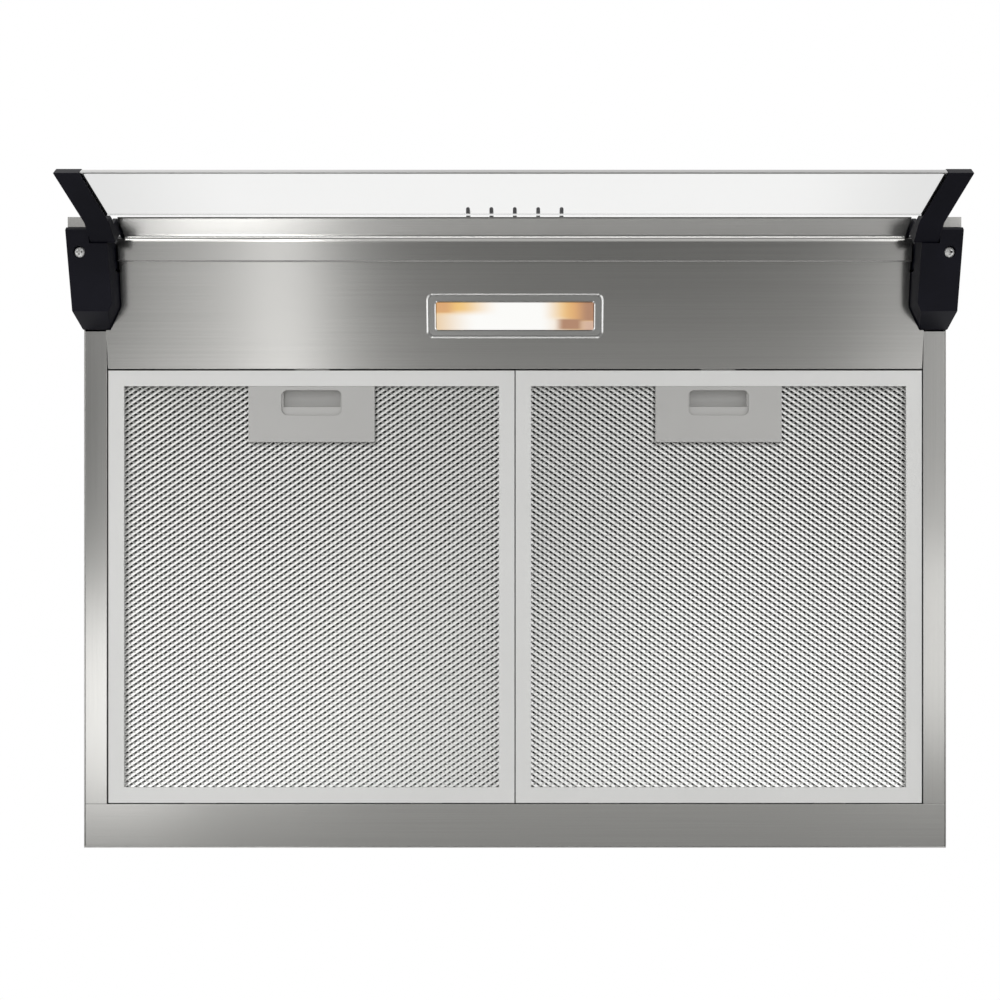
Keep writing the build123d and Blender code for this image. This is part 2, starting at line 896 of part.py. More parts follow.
def make_scroll_plate(x0, hole_radius):
    plate = Pos(x0, 0, 0) * extrude(Plane.YZ * u_outline(0), scroll_wall)
    return plate - crossbar(hole_radius, x0 - scroll_wall, x0 + 2 * scroll_wall, fan_axis_y, fan_z)


def make_motor_plate():
    plate = make_scroll_plate(plate_x - scroll_wall, shaft_hole_radius)
    for y, z in motor_screw_places():
        plate -= crossbar(motor_screw_radius + pin_clearance, 0, 2 * plate_x, y, z)
    return plate


motor_x = plate_x + motor_flange_thickness


def make_fan_motor():
    flange = crossbar(motor_flange_radius, plate_x, motor_x, fan_axis_y, fan_z)
    can = crossbar(motor_radius, motor_x, motor_x + motor_length, fan_axis_y, fan_z)
    cap_x = motor_x + motor_length
    cap = crossbar(motor_cap_radius, cap_x, cap_x + motor_cap_length, fan_axis_y, fan_z)
    motor = flange + can + cap
    for y, z in motor_screw_places():
        motor -= crossbar(motor_screw_radius + pin_clearance, plate_x - 1, motor_x + 1, y, z)
    bore_end = motor_x + motor_length
    return motor - crossbar(shaft_radius + shaft_clearance, plate_x - 1, bore_end, fan_axis_y, fan_z)


def make_motor_screws():
    screws = []
    for y, z in motor_screw_places():
        tip_x = plate_x - scroll_wall - motor_screw_head_height
        shank = crossbar(motor_screw_radius, tip_x, motor_x, y, z)
        head = crossbar(motor_screw_head_radius, motor_x, motor_x + motor_screw_head_height, y, z)
        screws.append(shank + head)
    return Compound(children=screws)


impeller_end = impeller_length / 2


def make_fan_shaft():
    start = impeller_end - hub_boss_length - impeller_disc
    end = motor_x + motor_length - motor_cap_length
    return crossbar(shaft_radius, start, end, fan_axis_y, fan_z)


def impeller_ring_at(x0, x1, outer, inner):
    """A ring of the impeller about the fan's axis."""
    ring = crossbar(outer, x0, x1, fan_axis_y, fan_z)
    return ring - crossbar(inner, x0 - 1, x1 + 1, fan_axis_y, fan_z)


def make_impeller():
    disc_x = impeller_end - impeller_disc
    bore = shaft_radius + shaft_clearance
    wheel = impeller_ring_at(disc_x, impeller_end, impeller_radius, bore)
    wheel += impeller_ring_at(disc_x - hub_boss_length, disc_x, hub_boss_radius, bore)
    rim_inner = impeller_radius - impeller_ring
    wheel += impeller_ring_at(-impeller_end, -impeller_end + impeller_rim, impeller_radius, rim_inner)
    blade_length = disc_x + impeller_end
    middle = (disc_x - impeller_end) / 2
    blade_radius = impeller_radius - impeller_ring / 2
    depth = impeller_ring * 0.9
    for i in range(blade_count):
        turn = Rot(360 / blade_count * i, 0, 0)
        blade = Pos(0, blade_radius, 0) * Rot(blade_pitch, 0, 0) * Box(blade_length, depth, blade_thickness)
        wheel += Pos(middle, fan_axis_y, fan_z) * turn * blade
    return wheel


# Electrical boxes
def make_terminal_box():
    x1 = terminal_x + terminal_length
    y1 = rear_y - sheet - box_margin
    top = -sheet
    box = slab(terminal_x, x1, y1 - terminal_depth, y1, top - terminal_height, top)
    return fillet(box.edges().filter_by(Axis.Z), terminal_corner)


def make_capacitor_box():
    x0 = motor_x + motor_length + box_margin
    top = -sheet
    y0 = collar_y - capacitor_depth / 2
    return slab(x0, x0 + capacitor_length, y0, y0 + capacitor_depth, top - capacitor_height, top)


def make_cable_gland():
    low = gland_flange_height - gland_length
    gland = upright(gland_radius, gland_x, gland_y, low, gland_flange_height)
    gland += upright(gland_flange_radius, gland_x, gland_y, 0, gland_flange_height)
    return gland - upright(gland_bore_radius, gland_x, gland_y, low - 1, gland_flange_height + 1)


def build():
    """Make every piece."""
    parts["top_panel"] = make_top_panel()
    parts["front_panel"] = slab(-half_width, half_width, front_y, front_y + sheet, slot_top_z, 0)
    parts["rear_panel"] = slab(-half_width, half_width, rear_y - sheet, rear_y, rail_z, 0)
    pair("side_panel", make_side_panel())
    pair("front_post", make_front_post())
    pair("bottom_rail", make_bottom_rail())
    parts["rear_flange"] = slab(-inner_x, inner_x, flange_y, rear_y - sheet, rail_z, rail_z + sheet)
    parts["filter_ledge"] = make_filter_ledge()
    parts["control_fascia"] = make_control_fascia()
    parts["front_lip"] = make_front_lip()
    parts["lip_flange"] = make_lip_flange()
    parts["light_panel"] = make_light_panel()
    parts["lamp_bezel"] = make_lamp_bezel()
    parts["lamp_lens"] = make_lamp_lens()
    parts["lamp_reflector"] = make_lamp_reflector()
    parts["lamp_holder"] = lamp_bar(holder_radius, holder_x, bulb_x)
    parts["lamp_bulb"] = make_lamp_bulb()
    pair("hinge_block", make_hinge_block())
    pair("corner_gusset", make_corner_gusset())
    parts["hinge_screws"] = both_sides(make_hinge_screw())
    parts["hinge_pins"] = both_sides(make_hinge_pin())
    pair("visor_arm", make_visor_arm())
    parts["visor_glass"] = make_visor_glass()
    parts["visor_trim"] = make_visor_trim()
    names = ("off", "low_speed", "middle_speed", "high_speed", "light")
    for name, x in zip(names, button_places()):
        parts[name + "_button"] = make_button(x)
    parts["switch_bank"] = make_switch_bank()
    pair("filter_frame", make_filter_frame())
    pair("filter_mesh", make_filter_mesh())
    pair("latch_plate", make_latch_plate())
    pair("latch_slider", make_latch_slider())
    parts["collar_flange"] = make_collar_flange()
    parts["duct_collar"] = make_duct_collar()
    parts["collar_screws"] = make_collar_screws()
    pin_half = collar_radius - damper_pin_inset
    parts["damper_pin"] = crossbar(damper_pin_radius, -pin_half, pin_half, collar_y, damper_height)
    parts["front_damper_flap"] = make_damper_flap(-1)
    parts["rear_damper_flap"] = make_damper_flap(1)
    parts["scroll_wall"] = make_scroll_wall()
    parts["scroll_inlet_plate"] = make_scroll_plate(-plate_x, inlet_radius)
    parts["scroll_motor_plate"] = make_motor_plate()
    parts["fan_motor"] = make_fan_motor()
    parts["motor_screws"] = make_motor_screws()
    parts["fan_shaft"] = make_fan_shaft()
    parts["impeller"] = make_impeller()
    parts["terminal_box"] = make_terminal_box()
    parts["capacitor_box"] = make_capacitor_box()
    parts["cable_gland"] = make_cable_gland()


build()
os.makedirs("parts", exist_ok=True)
for name, shape in parts.items():
    export_step(shape, f"parts/{name}.step")
print(len(parts), "pieces")
print("visor pivot", pivot_y, pivot_z)
print("filter hinge", flange_y - filter_end_gap / 2, rail_z)
print("damper axis", collar_y, damper_height)
print("fan axis", fan_axis_y, fan_z)
print("gland", gland_x, "depth", hood_depth, "latch", latch_x, latch_plate_y)
print("lamp", lamp_y, lamp_z, panel_slope)
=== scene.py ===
"""Dresses the under cabinet range hood: steel shell, glass visor, lamp, mesh filters and stage."""

import json
import math

import bmesh
import bpy
from mathutils import Matrix, Vector


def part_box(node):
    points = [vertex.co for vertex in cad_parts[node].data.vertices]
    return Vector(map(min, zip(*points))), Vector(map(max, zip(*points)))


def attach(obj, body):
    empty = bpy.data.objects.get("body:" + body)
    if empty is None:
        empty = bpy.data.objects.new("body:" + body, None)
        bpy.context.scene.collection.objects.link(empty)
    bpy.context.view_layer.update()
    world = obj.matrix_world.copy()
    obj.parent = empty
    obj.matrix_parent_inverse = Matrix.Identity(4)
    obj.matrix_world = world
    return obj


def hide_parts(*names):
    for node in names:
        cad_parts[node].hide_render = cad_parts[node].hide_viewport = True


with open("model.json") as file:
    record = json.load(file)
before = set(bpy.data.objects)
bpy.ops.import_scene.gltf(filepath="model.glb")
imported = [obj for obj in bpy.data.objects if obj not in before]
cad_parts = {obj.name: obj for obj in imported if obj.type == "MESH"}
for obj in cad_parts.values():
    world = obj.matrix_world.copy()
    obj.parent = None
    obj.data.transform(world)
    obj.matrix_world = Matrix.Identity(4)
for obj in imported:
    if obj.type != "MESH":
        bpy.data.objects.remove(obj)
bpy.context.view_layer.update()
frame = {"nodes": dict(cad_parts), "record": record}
nodes = frame["nodes"]
record = frame["record"]

bl_info = {
    "name": "Range hood",
    "version": (1, 0, 0),
    "blender": (4, 5, 0),
    "location": "View3D > Sidebar > Hood",
    "description": "Builds the looks of an under cabinet range hood on its packed frame",
    "category": "Object",
}

BODY_OF = {node: body for body, members in record["behaviour"]["bodies"].items() for node in members}
KEYS = ("off_button", "low_speed_button", "middle_speed_button", "high_speed_button", "light_button")
SIDES = ("left", "right")


class HoodSizes(bpy.types.PropertyGroup):
    """Small shape sizes that the solids leave plain."""

    sheet_edge: bpy.props.FloatProperty(
        name="Sheet edge", description="Rounding of a cut steel edge",
        default=0.0003, unit="LENGTH", precision=5,
    )
    plastic_edge: bpy.props.FloatProperty(
        name="Plastic edge", description="Rounding of a moulded edge",
        default=0.0012, unit="LENGTH", precision=5,
    )
    frame_edge: bpy.props.FloatProperty(
        name="Frame edge", description="Rounding of a filter frame edge",
        default=0.0007, unit="LENGTH", precision=5,
    )
    lip_bend: bpy.props.FloatProperty(
        name="Lip bend", description="Inside radius where the lip turns down",
        default=0.006, unit="LENGTH", precision=5,
    )
    flange_hem: bpy.props.FloatProperty(
        name="Flange hem", description="Slanted rear edge of the flat band",
        default=0.0006, unit="LENGTH", precision=5,
    )
    bezel_corner: bpy.props.FloatProperty(
        name="Bezel corner", description="Corner radius of the lamp rim",
        default=0.004, unit="LENGTH", precision=5,
    )
    bezel_ridge: bpy.props.FloatProperty(
        name="Bezel ridge", description="Width of the ridge round the lamp",
        default=0.0013, unit="LENGTH", precision=5,
    )
    cell_width: bpy.props.FloatProperty(
        name="Cell width", description="Width of one mesh diamond",
        default=0.0060, unit="LENGTH", precision=5,
    )
    cell_length: bpy.props.FloatProperty(
        name="Cell length", description="Length of one mesh diamond",
        default=0.0040, unit="LENGTH", precision=5,
    )
    strand_width: bpy.props.FloatProperty(
        name="Strand width", description="Width of a mesh strand",
        default=0.0021, unit="LENGTH", precision=5,
    )
    strand_height: bpy.props.FloatProperty(
        name="Strand height", description="Thickness of a mesh strand",
        default=0.0005, unit="LENGTH", precision=5,
    )
    strand_step: bpy.props.FloatProperty(
        name="Strand step", description="Drop of an outward mesh strand",
        default=0.00025, unit="LENGTH", precision=5,
    )
    strand_tilt: bpy.props.FloatProperty(
        name="Strand tilt", description="Lean of an outward mesh strand",
        default=math.radians(30), subtype="ANGLE",
    )
    cross_tilt: bpy.props.FloatProperty(
        name="Cross tilt", description="Lean of an inward mesh strand",
        default=math.radians(50), subtype="ANGLE",
    )


class HoodColours(bpy.types.PropertyGroup):
    """Colours of the finishes."""

    steel: bpy.props.FloatVectorProperty(
        name="Steel", description="Brushed steel sheet",
        default=(0.50, 0.495, 0.48), subtype="COLOR", size=3,
    )
    inner_steel: bpy.props.FloatVectorProperty(
        name="Inner steel", description="Zinc coated inner steel",
        default=(0.50, 0.51, 0.52), subtype="COLOR", size=3,
    )
    aluminium: bpy.props.FloatVectorProperty(
        name="Aluminium", description="Filter frames",
        default=(0.92, 0.92, 0.905), subtype="COLOR", size=3,
    )
    plate: bpy.props.FloatVectorProperty(
        name="Latch plate", description="Filter latch plates",
        default=(0.62, 0.615, 0.60), subtype="COLOR", size=3,
    )
    mesh: bpy.props.FloatVectorProperty(
        name="Mesh", description="Filter mesh strands",
        default=(0.92, 0.92, 0.905), subtype="COLOR", size=3,
    )
    plastic: bpy.props.FloatVectorProperty(
        name="Plastic", description="Black moulded plastic",
        default=(0.004, 0.004, 0.008), subtype="COLOR", size=3,
    )
    key: bpy.props.FloatVectorProperty(
        name="Key", description="Push buttons",
        default=(0.09, 0.09, 0.095), subtype="COLOR", size=3,
    )
    grey: bpy.props.FloatVectorProperty(
        name="Grey", description="Grey inner mouldings",
        default=(0.32, 0.33, 0.34), subtype="COLOR", size=3,
    )
    glass: bpy.props.FloatVectorProperty(
        name="Glass", description="Visor glass",
        default=(0.955, 0.957, 0.95), subtype="COLOR", size=3,
    )
    lamp: bpy.props.FloatVectorProperty(
        name="Lamp", description="Lit middle of the lamp",
        default=(0.92, 0.92, 0.90), subtype="COLOR", size=3,
    )
    lamp_rim: bpy.props.FloatVectorProperty(
        name="Lamp rim", description="Warm rim of the lamp",
        default=(0.83, 0.52, 0.17), subtype="COLOR", size=3,
    )


class HoodStage(bpy.types.PropertyGroup):
    """The floor and the camera."""

    floor_level: bpy.props.FloatProperty(
        name="Floor level", description="Height of the floor",
        default=-1.45, unit="LENGTH",
    )
    floor_colour: bpy.props.FloatVectorProperty(
        name="Floor", description="Pale floor",
        default=(0.72, 0.72, 0.71), subtype="COLOR", size=3,
    )
    eye: bpy.props.FloatVectorProperty(
        name="Eye", description="Camera place",
        default=(0.0104, -0.026, -0.830), subtype="TRANSLATION", size=3,
    )
    lens: bpy.props.FloatProperty(name="Lens", description="Focal length in mm", default=36.216)
    shift: bpy.props.FloatProperty(name="Shift", description="Sideways lens shift", default=-0.03)


# Shader maths
class Tone:
    """A shader socket that can be used in plain sums."""

    def __init__(self, paint, socket):
        self.paint = paint
        self.socket = socket

    def sum(self, operation, first, second):
        return self.paint.node("ShaderNodeMath", {"operation": operation}, {0: first, 1: second})

    def __add__(self, other):
        return self.sum("ADD", self, other)

    def __radd__(self, other):
        return self.sum("ADD", other, self)

    def __sub__(self, other):
        return self.sum("SUBTRACT", self, other)

    def __rsub__(self, other):
        return self.sum("SUBTRACT", other, self)

    def __mul__(self, other):
        return self.sum("MULTIPLY", self, other)

    def __rmul__(self, other):
        return self.sum("MULTIPLY", other, self)


class Paint:
    """One material and the nodes that feed its shader."""

    def __init__(self, name):
        self.material = bpy.data.materials.new(name)
        self.material.use_nodes = True
        self.tree = self.material.node_tree
        self.tree.nodes.clear()
        self.shader = self.tree.nodes.new("ShaderNodeBsdfPrincipled")
        self.output = self.tree.nodes.new("ShaderNodeOutputMaterial")
        self.tree.links.new(self.shader.outputs[0], self.output.inputs["Surface"])

    def feed(self, socket, value):
        """Link a socket to a tone, or set it to a plain value."""
        if isinstance(value, Tone):
            self.tree.links.new(value.socket, socket)
        elif socket.type == "RGBA" and len(value) == 3:
            socket.default_value = (*value, 1)
        else:
            socket.default_value = value

    def node(self, kind, settings=None, sockets=None, out=0):
        """Add a node with these settings and these values or links on its sockets."""
        made = self.tree.nodes.new(kind)
        for key, value in (settings or {}).items():
            setattr(made, key, value)
        for key, value in (sockets or {}).items():
            self.feed(made.inputs[key], value)
        return Tone(self, made.outputs[out])

    def set(self, **sockets):
        """Feed the shader's sockets, with each space in a name written as an underscore."""
        for key, value in sockets.items():
            self.feed(self.shader.inputs[key.replace("_", " ")], value)

    def place(self, scale=(1, 1, 1), shift=(0, 0, 0), turn=(0, 0, 0)):
        """Where a point lies in the object's own frame."""
        where = self.node("ShaderNodeTexCoord", out="Object")
        sockets = {"Vector": where, "Location": shift, "Rotation": turn, "Scale": scale}
        return self.node("ShaderNodeMapping", None, sockets)

    def noise(self, vector, scale=1.0, detail=2.0, rough=0.5):
        sockets = {"Vector": vector, "Scale": scale, "Detail": detail, "Roughness": rough}
        return self.node("ShaderNodeTexNoise", {"noise_dimensions": "3D"}, sockets, "Fac")

    def mix(self, amount, first, second):
        return self.node("ShaderNodeMix", {"data_type": "RGBA"}, {0: amount, 6: first, 7: second}, 2)

    def spread(self, value, low, high, new_low=0.0, new_high=1.0):
        """A smooth step from one value to another."""
        settings = {"clamp": True, "interpolation_type": "SMOOTHSTEP"}
        sockets = {0: value, 1: low, 2: high, 3: new_low, 4: new_high}
        return self.node("ShaderNodeMapRange", settings, sockets)

    def bump(self, height, strength, distance):
        sockets = {"Height": height, "Strength": strength, "Distance": distance}
        return self.node("ShaderNodeBump", None, sockets, "Normal")


def darker(colour, share):
    """A colour with every channel times a share."""
    return tuple(channel * share for channel in colour)


FINE = 1700.0
LONG = 5.0
GRAIN = {"X": (LONG, FINE, FINE), "Y": (FINE, LONG, FINE)}


def brushed(name, colour, along="X", rough=0.23, spread=0.06, shade=0.94):
    """Steel brushed in one direction: long fine scratches and a faint cloudiness."""
    paint = Paint(name)
    grain = paint.noise(paint.place(GRAIN[along]), 1.0, 3.0, 0.6)
    cloud = paint.noise(paint.place(), 9.0, 2.0)
    worn = paint.spread(grain, 0.35, 0.65)
    paint.set(
        Base_Color=paint.mix(worn, darker(colour, shade), colour),
        Metallic=1.0,
        Roughness=rough - spread / 2 + spread * grain + 0.04 * (cloud - 0.5),
        Normal=paint.bump(grain, 0.2, 0.00002),
    )
    return paint.material


def satin(name, colour, rough=0.42, metallic=1.0, grain_size=2600.0, depth=0.00002):
    """Plain rolled metal with a fine even grain."""
    paint = Paint(name)
    grain = paint.noise(paint.place(), grain_size, 2.0)
    cloud = paint.noise(paint.place(), 14.0, 3.0)
    paint.set(
        Base_Color=paint.mix(cloud, darker(colour, 0.92), colour),
        Metallic=metallic,
        Roughness=rough - 0.05 + 0.1 * cloud,
        Normal=paint.bump(grain, 0.3, depth),
    )
    return paint.material


def moulded(name, colour, rough=0.42, grain_size=1900.0, depth=0.00003, specular=0.5):
    """Moulded plastic with a fine spark texture and slightly rubbed patches."""
    paint = Paint(name)
    grain = paint.noise(paint.place(), grain_size, 2.0)
    rub = paint.noise(paint.place(), 22.0, 3.0)
    rubbed = tuple(channel * 1.5 + 0.001 for channel in colour)
    paint.set(
        Base_Color=paint.mix(paint.spread(rub, 0.4, 0.75), colour, rubbed),
        Roughness=rough - 0.08 + 0.16 * rub,
        Specular_IOR_Level=specular,
        Normal=paint.bump(grain, 0.35, depth),
    )
    return paint.material


def clear_glass(name, colour, half_width):
    """Clear polished sheet glass with a faint random film, and a painted reflection that darkens its
    tint near its ends.
    """
    paint = Paint(name)
    film = paint.noise(paint.place(), 18.0, 3.0)
    spot = paint.node("ShaderNodeSeparateXYZ", None, {0: paint.place((1 / half_width, 0, 0))})
    # painted reflection: the tint darkens towards both ends, standing in for darker surroundings seen in
    # the glass there
    ends = paint.spread(spot.sum("ABSOLUTE", spot, 0.0), 0.62, 1.0)
    paint.set(
        Base_Color=paint.mix(ends + 0.1 * film, colour, darker(colour, 0.86)),
        Roughness=0.015 + 0.02 * film,
        Transmission_Weight=1.0,
        IOR=1.46,
    )
    return paint.material


def lit_lens(name, middle, rim, half_length, half_depth, centre):
    """A lamp cover lit from behind: white over the bulb, amber where the reflector and holder show."""
    paint = Paint(name)
    scale = (1 / half_length, 1 / half_depth, 0)
    spot = paint.place(scale, (-centre[0] / half_length, -centre[1] / half_depth, 0))
    split = paint.node("ShaderNodeSeparateXYZ", None, {0: spot})
    across = Tone(paint, split.socket.node.outputs["X"])
    deep = Tone(paint, split.socket.node.outputs["Y"])

    def patch(left, right, front, rear, soft):
        """Where a soft-edged oblong on the cover is."""
        inside = paint.spread(across, left - soft, left + soft)
        inside = inside * paint.spread(across, right + soft, right - soft)
        inside = inside * paint.spread(deep, front - soft, front + soft)
        return inside * paint.spread(deep, rear + soft, rear - soft)

    amber = (rim[0] * 0.80, rim[1] * 0.68, rim[2] * 0.85)
    brown = (rim[0] * 0.48, rim[1] * 0.40, rim[2] * 0.72)
    peach = (rim[0] * 0.92, rim[1] * 1.05, rim[2] * 1.85)
    dusty = (rim[0] * 0.74, rim[1] * 0.79, rim[2] * 1.80)
    past = 1.6
    tone = paint.mix(patch(-past, -0.80, -past, past, 0.34), middle, peach)
    tone = paint.mix(patch(-1.3, -0.46, -past, -0.22, 0.30), tone, rim)
    tone = paint.mix(patch(-1.3, -0.80, -past, -0.22, 0.10), tone, amber)
    tone = paint.mix(patch(0.56, past, -past, past, 0.25), tone, peach)
    tone = paint.mix(patch(0.55, past, -past, 0.20, 0.25), tone, rim)
    tone = paint.mix(patch(0.68, past, -past, 0.30, 0.14), tone, amber)
    tone = paint.mix(patch(0.84, past, -past, 0.36, 0.10), tone, brown)
    tone = paint.mix(patch(0.56, 0.86, 0.24, 0.96, 0.07), tone, brown)
    tone = paint.mix(patch(0.86, past, 0.40, past, 0.07), tone, dusty)
    ripple = paint.noise(paint.place(), 700.0, 1.0)
    paint.set(
        Base_Color=(0.05, 0.045, 0.04),
        Roughness=0.3 + 0.1 * ripple,
        Emission_Color=tone,
        Emission_Strength=1.0,
        Normal=paint.bump(ripple, 0.2, 0.0001),
    )
    return paint.material


def painted_shade_mesh_core(name, colour):
    """Folded mesh deep inside a filter, in the mesh colour painted nearly black as painted shade."""
    paint = Paint(name)
    turned = paint.place((240.0, 300.0, 1.0), turn=(0, 0, math.radians(45)))
    sockets = {"Vector": turned, "Scale": 1.0}
    cells = paint.node("ShaderNodeTexVoronoi", {"feature": "DISTANCE_TO_EDGE"}, sockets)
    strand = paint.spread(cells, 0.02, 0.22, 1.0, 0.0)
    # painted shade: the mesh colour is cut to a few percent, lighter along the strands, to stand in for
    # the shade deep in the filter
    paint.set(
        Base_Color=paint.mix(strand, darker(colour, 0.015), darker(colour, 0.08)),
        Metallic=0.8,
        Roughness=0.5 + 0.1 * strand,
        Normal=paint.bump(strand, 0.6, 0.0006),
    )
    return paint.material


PAINTS = {}


def mix_paints():
    """Make every finish once."""
    hue = bpy.context.scene.hood_colours
    for along in "XY":
        PAINTS["steel_" + along] = brushed("brushed steel " + along, hue.steel, along)
    PAINTS["bezel"] = brushed("lamp bezel aluminium", darker(hue.aluminium, 0.66), "X", 0.22)
    # painted highlight: the body steel made 1.6 times brighter on the lip bend, standing in for the
    # light the bend catches
    PAINTS["bend"] = brushed("bent steel edge, painted highlight", darker(hue.steel, 1.6), "X", 0.17)
    # painted shade: the body steel made darker on the band's rear edge, standing in for the shadow gap
    # over the light panel
    PAINTS["hem"] = brushed("band edge steel, painted shade", darker(hue.steel, 0.6), "X", 0.3)
    PAINTS["inner"] = satin("zinc coated steel", hue.inner_steel, 0.4)
    PAINTS["frame"] = satin("anodised aluminium", hue.aluminium, 0.46, 0.15)
    PAINTS["plate"] = satin("latch plate aluminium", hue.plate, 0.5, 0.25)
    # painted shade: the latch plate's aluminium made darker for the floor of the grip recess
    PAINTS["pocket"] = satin("latch pocket aluminium, painted shade", darker(hue.plate, 0.75), 0.5, 0.25)
    PAINTS["trim"] = brushed("visor trim aluminium", darker(hue.aluminium, 0.58), "X", 0.32)
    PAINTS["mesh"] = satin("mesh aluminium", hue.mesh, 0.32, 0.78)
    # the filter core is painted nearly black as painted shade
    PAINTS["core"] = painted_shade_mesh_core("mesh core painted dark as shade", hue.mesh)
    PAINTS["plastic"] = moulded("black plastic", hue.plastic, 0.38, specular=0.12)
    PAINTS["key"] = moulded("button plastic", hue.key, 0.28)
    PAINTS["grey"] = moulded("grey plastic", hue.grey, 0.5)
    PAINTS["ceramic"] = moulded("lamp ceramic", (0.82, 0.8, 0.76), 0.35)
    PAINTS["bulb"] = moulded("bulb glass", (0.95, 0.92, 0.85), 0.25)
    PAINTS["screw"] = satin("screw steel", (0.86, 0.86, 0.85), 0.3, 0.4)
    PAINTS["glass"] = clear_glass("visor glass with painted dark ends", hue.glass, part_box("visor_glass")[1][0])
    low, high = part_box("lamp_lens")
    half_length = (high[0] - low[0]) / 2
    half_depth = (high[1] - low[1]) / 2
    centre = ((low[0] + high[0]) / 2, (low[1] + high[1]) / 2)
    PAINTS["lens"] = lit_lens("lit lamp lens", hue.lamp, hue.lamp_rim, half_length, half_depth, centre)


# Meshes
def shade(mesh, angle=35.0):
    """Smooth shading, with the edges past an angle kept sharp."""
    for face in mesh.polygons:
        face.use_smooth = True
    mesh.set_sharp_from_angle(angle=math.radians(angle))


def add_object(name, bm, angle=35.0):
    """Turn a mesh under construction into a shaded object."""
    mesh = bpy.data.meshes.new(name)
    bm.to_mesh(mesh)
    bm.free()
    shade(mesh, angle)
    made = bpy.data.objects.new(name, mesh)
    bpy.context.scene.collection.objects.link(made)
    return true_normals(made)


def true_normals(made):
    """Let the large flat faces keep their own direction and the rounded edges blend into them."""
    weigher = made.modifiers.new("normals", "WEIGHTED_NORMAL")
    weigher.mode = "FACE_AREA"
    weigher.weight = 100
    weigher.keep_sharp = True
    bpy.context.view_layer.update()
    plain = made.data
    shown = made.evaluated_get(bpy.context.evaluated_depsgraph_get())
    made.data = bpy.data.meshes.new_from_object(shown)
    made.data.name = made.name
    made.modifiers.remove(weigher)
    bpy.data.meshes.remove(plain)
    return made


def settle(piece, material, node_names):
    """Give a piece its finish, its body and the solids it stands for."""
    if material:
        piece.data.materials.clear()
        piece.data.materials.append(material)
    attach(piece, BODY_OF[node_names[0]])
    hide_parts(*node_names)
    return piece


def node_shape(node):
    """A solid's mesh with its corners joined and its flat faces whole."""
    bm = bmesh.new()
    bm.from_mesh(nodes[node].data)
    bmesh.ops.remove_doubles(bm, verts=bm.verts, dist=1e-6)
    bmesh.ops.dissolve_limit(bm, angle_limit=math.radians(0.5), verts=bm.verts, edges=bm.edges)
    return bm


def round_edges(bm, width, segments=2, sharp=30.0):
    """Round every edge that is sharper than an angle."""
    edges = [e for e in bm.edges if len(e.link_faces) == 2 and e.calc_face_angle() > math.radians(sharp)]
    bmesh.ops.bevel(
        bm, geom=edges, offset=width, segments=segments, profile=0.5, affect="EDGES", clamp_overlap=True
    )
    bmesh.ops.recalc_face_normals(bm, faces=bm.faces)


def rounded(node, width, material, segments=2):
    """A copy of a solid with its edges rounded, in place of the sharp one."""
    bm = node_shape(node)
    round_edges(bm, width, segments)
    return settle(add_object(node + "_finish", bm), material, [node])


def prism(outline, low_x, high_x):
    """A bar along X whose ends are one outline of (Y, Z) points."""
    bm = bmesh.new()
    ends = [[bm.verts.new((x, y, z)) for y, z in outline] for x in (low_x, high_x)]
    count = len(outline)
    for i in range(count):
        j = (i + 1) % count
        bm.faces.new((ends[0][i], ends[0][j], ends[1][j], ends[1][i]))
    for end in ends:
        bm.faces.new(end)
    bmesh.ops.recalc_face_normals(bm, faces=bm.faces)
    return bm


def oblong(half_x, half_y, radius, level, steps=8):
    """The points of a rounded oblong round the origin, at one level."""
    points = []
    for quarter, (side_x, side_y) in enumerate(((1, 1), (-1, 1), (-1, -1), (1, -1))):
        for step in range(steps + 1):
            turn = (quarter + step / steps) * math.pi / 2
            x = side_x * (half_x - radius) + radius * math.cos(turn)
            y = side_y * (half_y - radius) + radius * math.sin(turn)
            points.append(Vector((x, y, level)))
    return points


def ring(loops, place):
    """A closed ring whose skin passes through these loops of points in turn."""
    bm = bmesh.new()
    rows = [[bm.verts.new(place @ point) for point in loop] for loop in loops]
    for row, following in zip(rows, rows[1:] + rows[:1]):
        for i in range(len(row)):
            j = (i + 1) % len(row)
            bm.faces.new((row[i], row[j], following[j], following[i]))
    bmesh.ops.recalc_face_normals(bm, faces=bm.faces)
    return bm


def tint(node, material):
    """Keep a solid as it is and give it a finish."""
    data = nodes[node].data
    if not data.materials:
        data.materials.append(material)
    for i in range(len(data.materials)):
        data.materials[i] = material


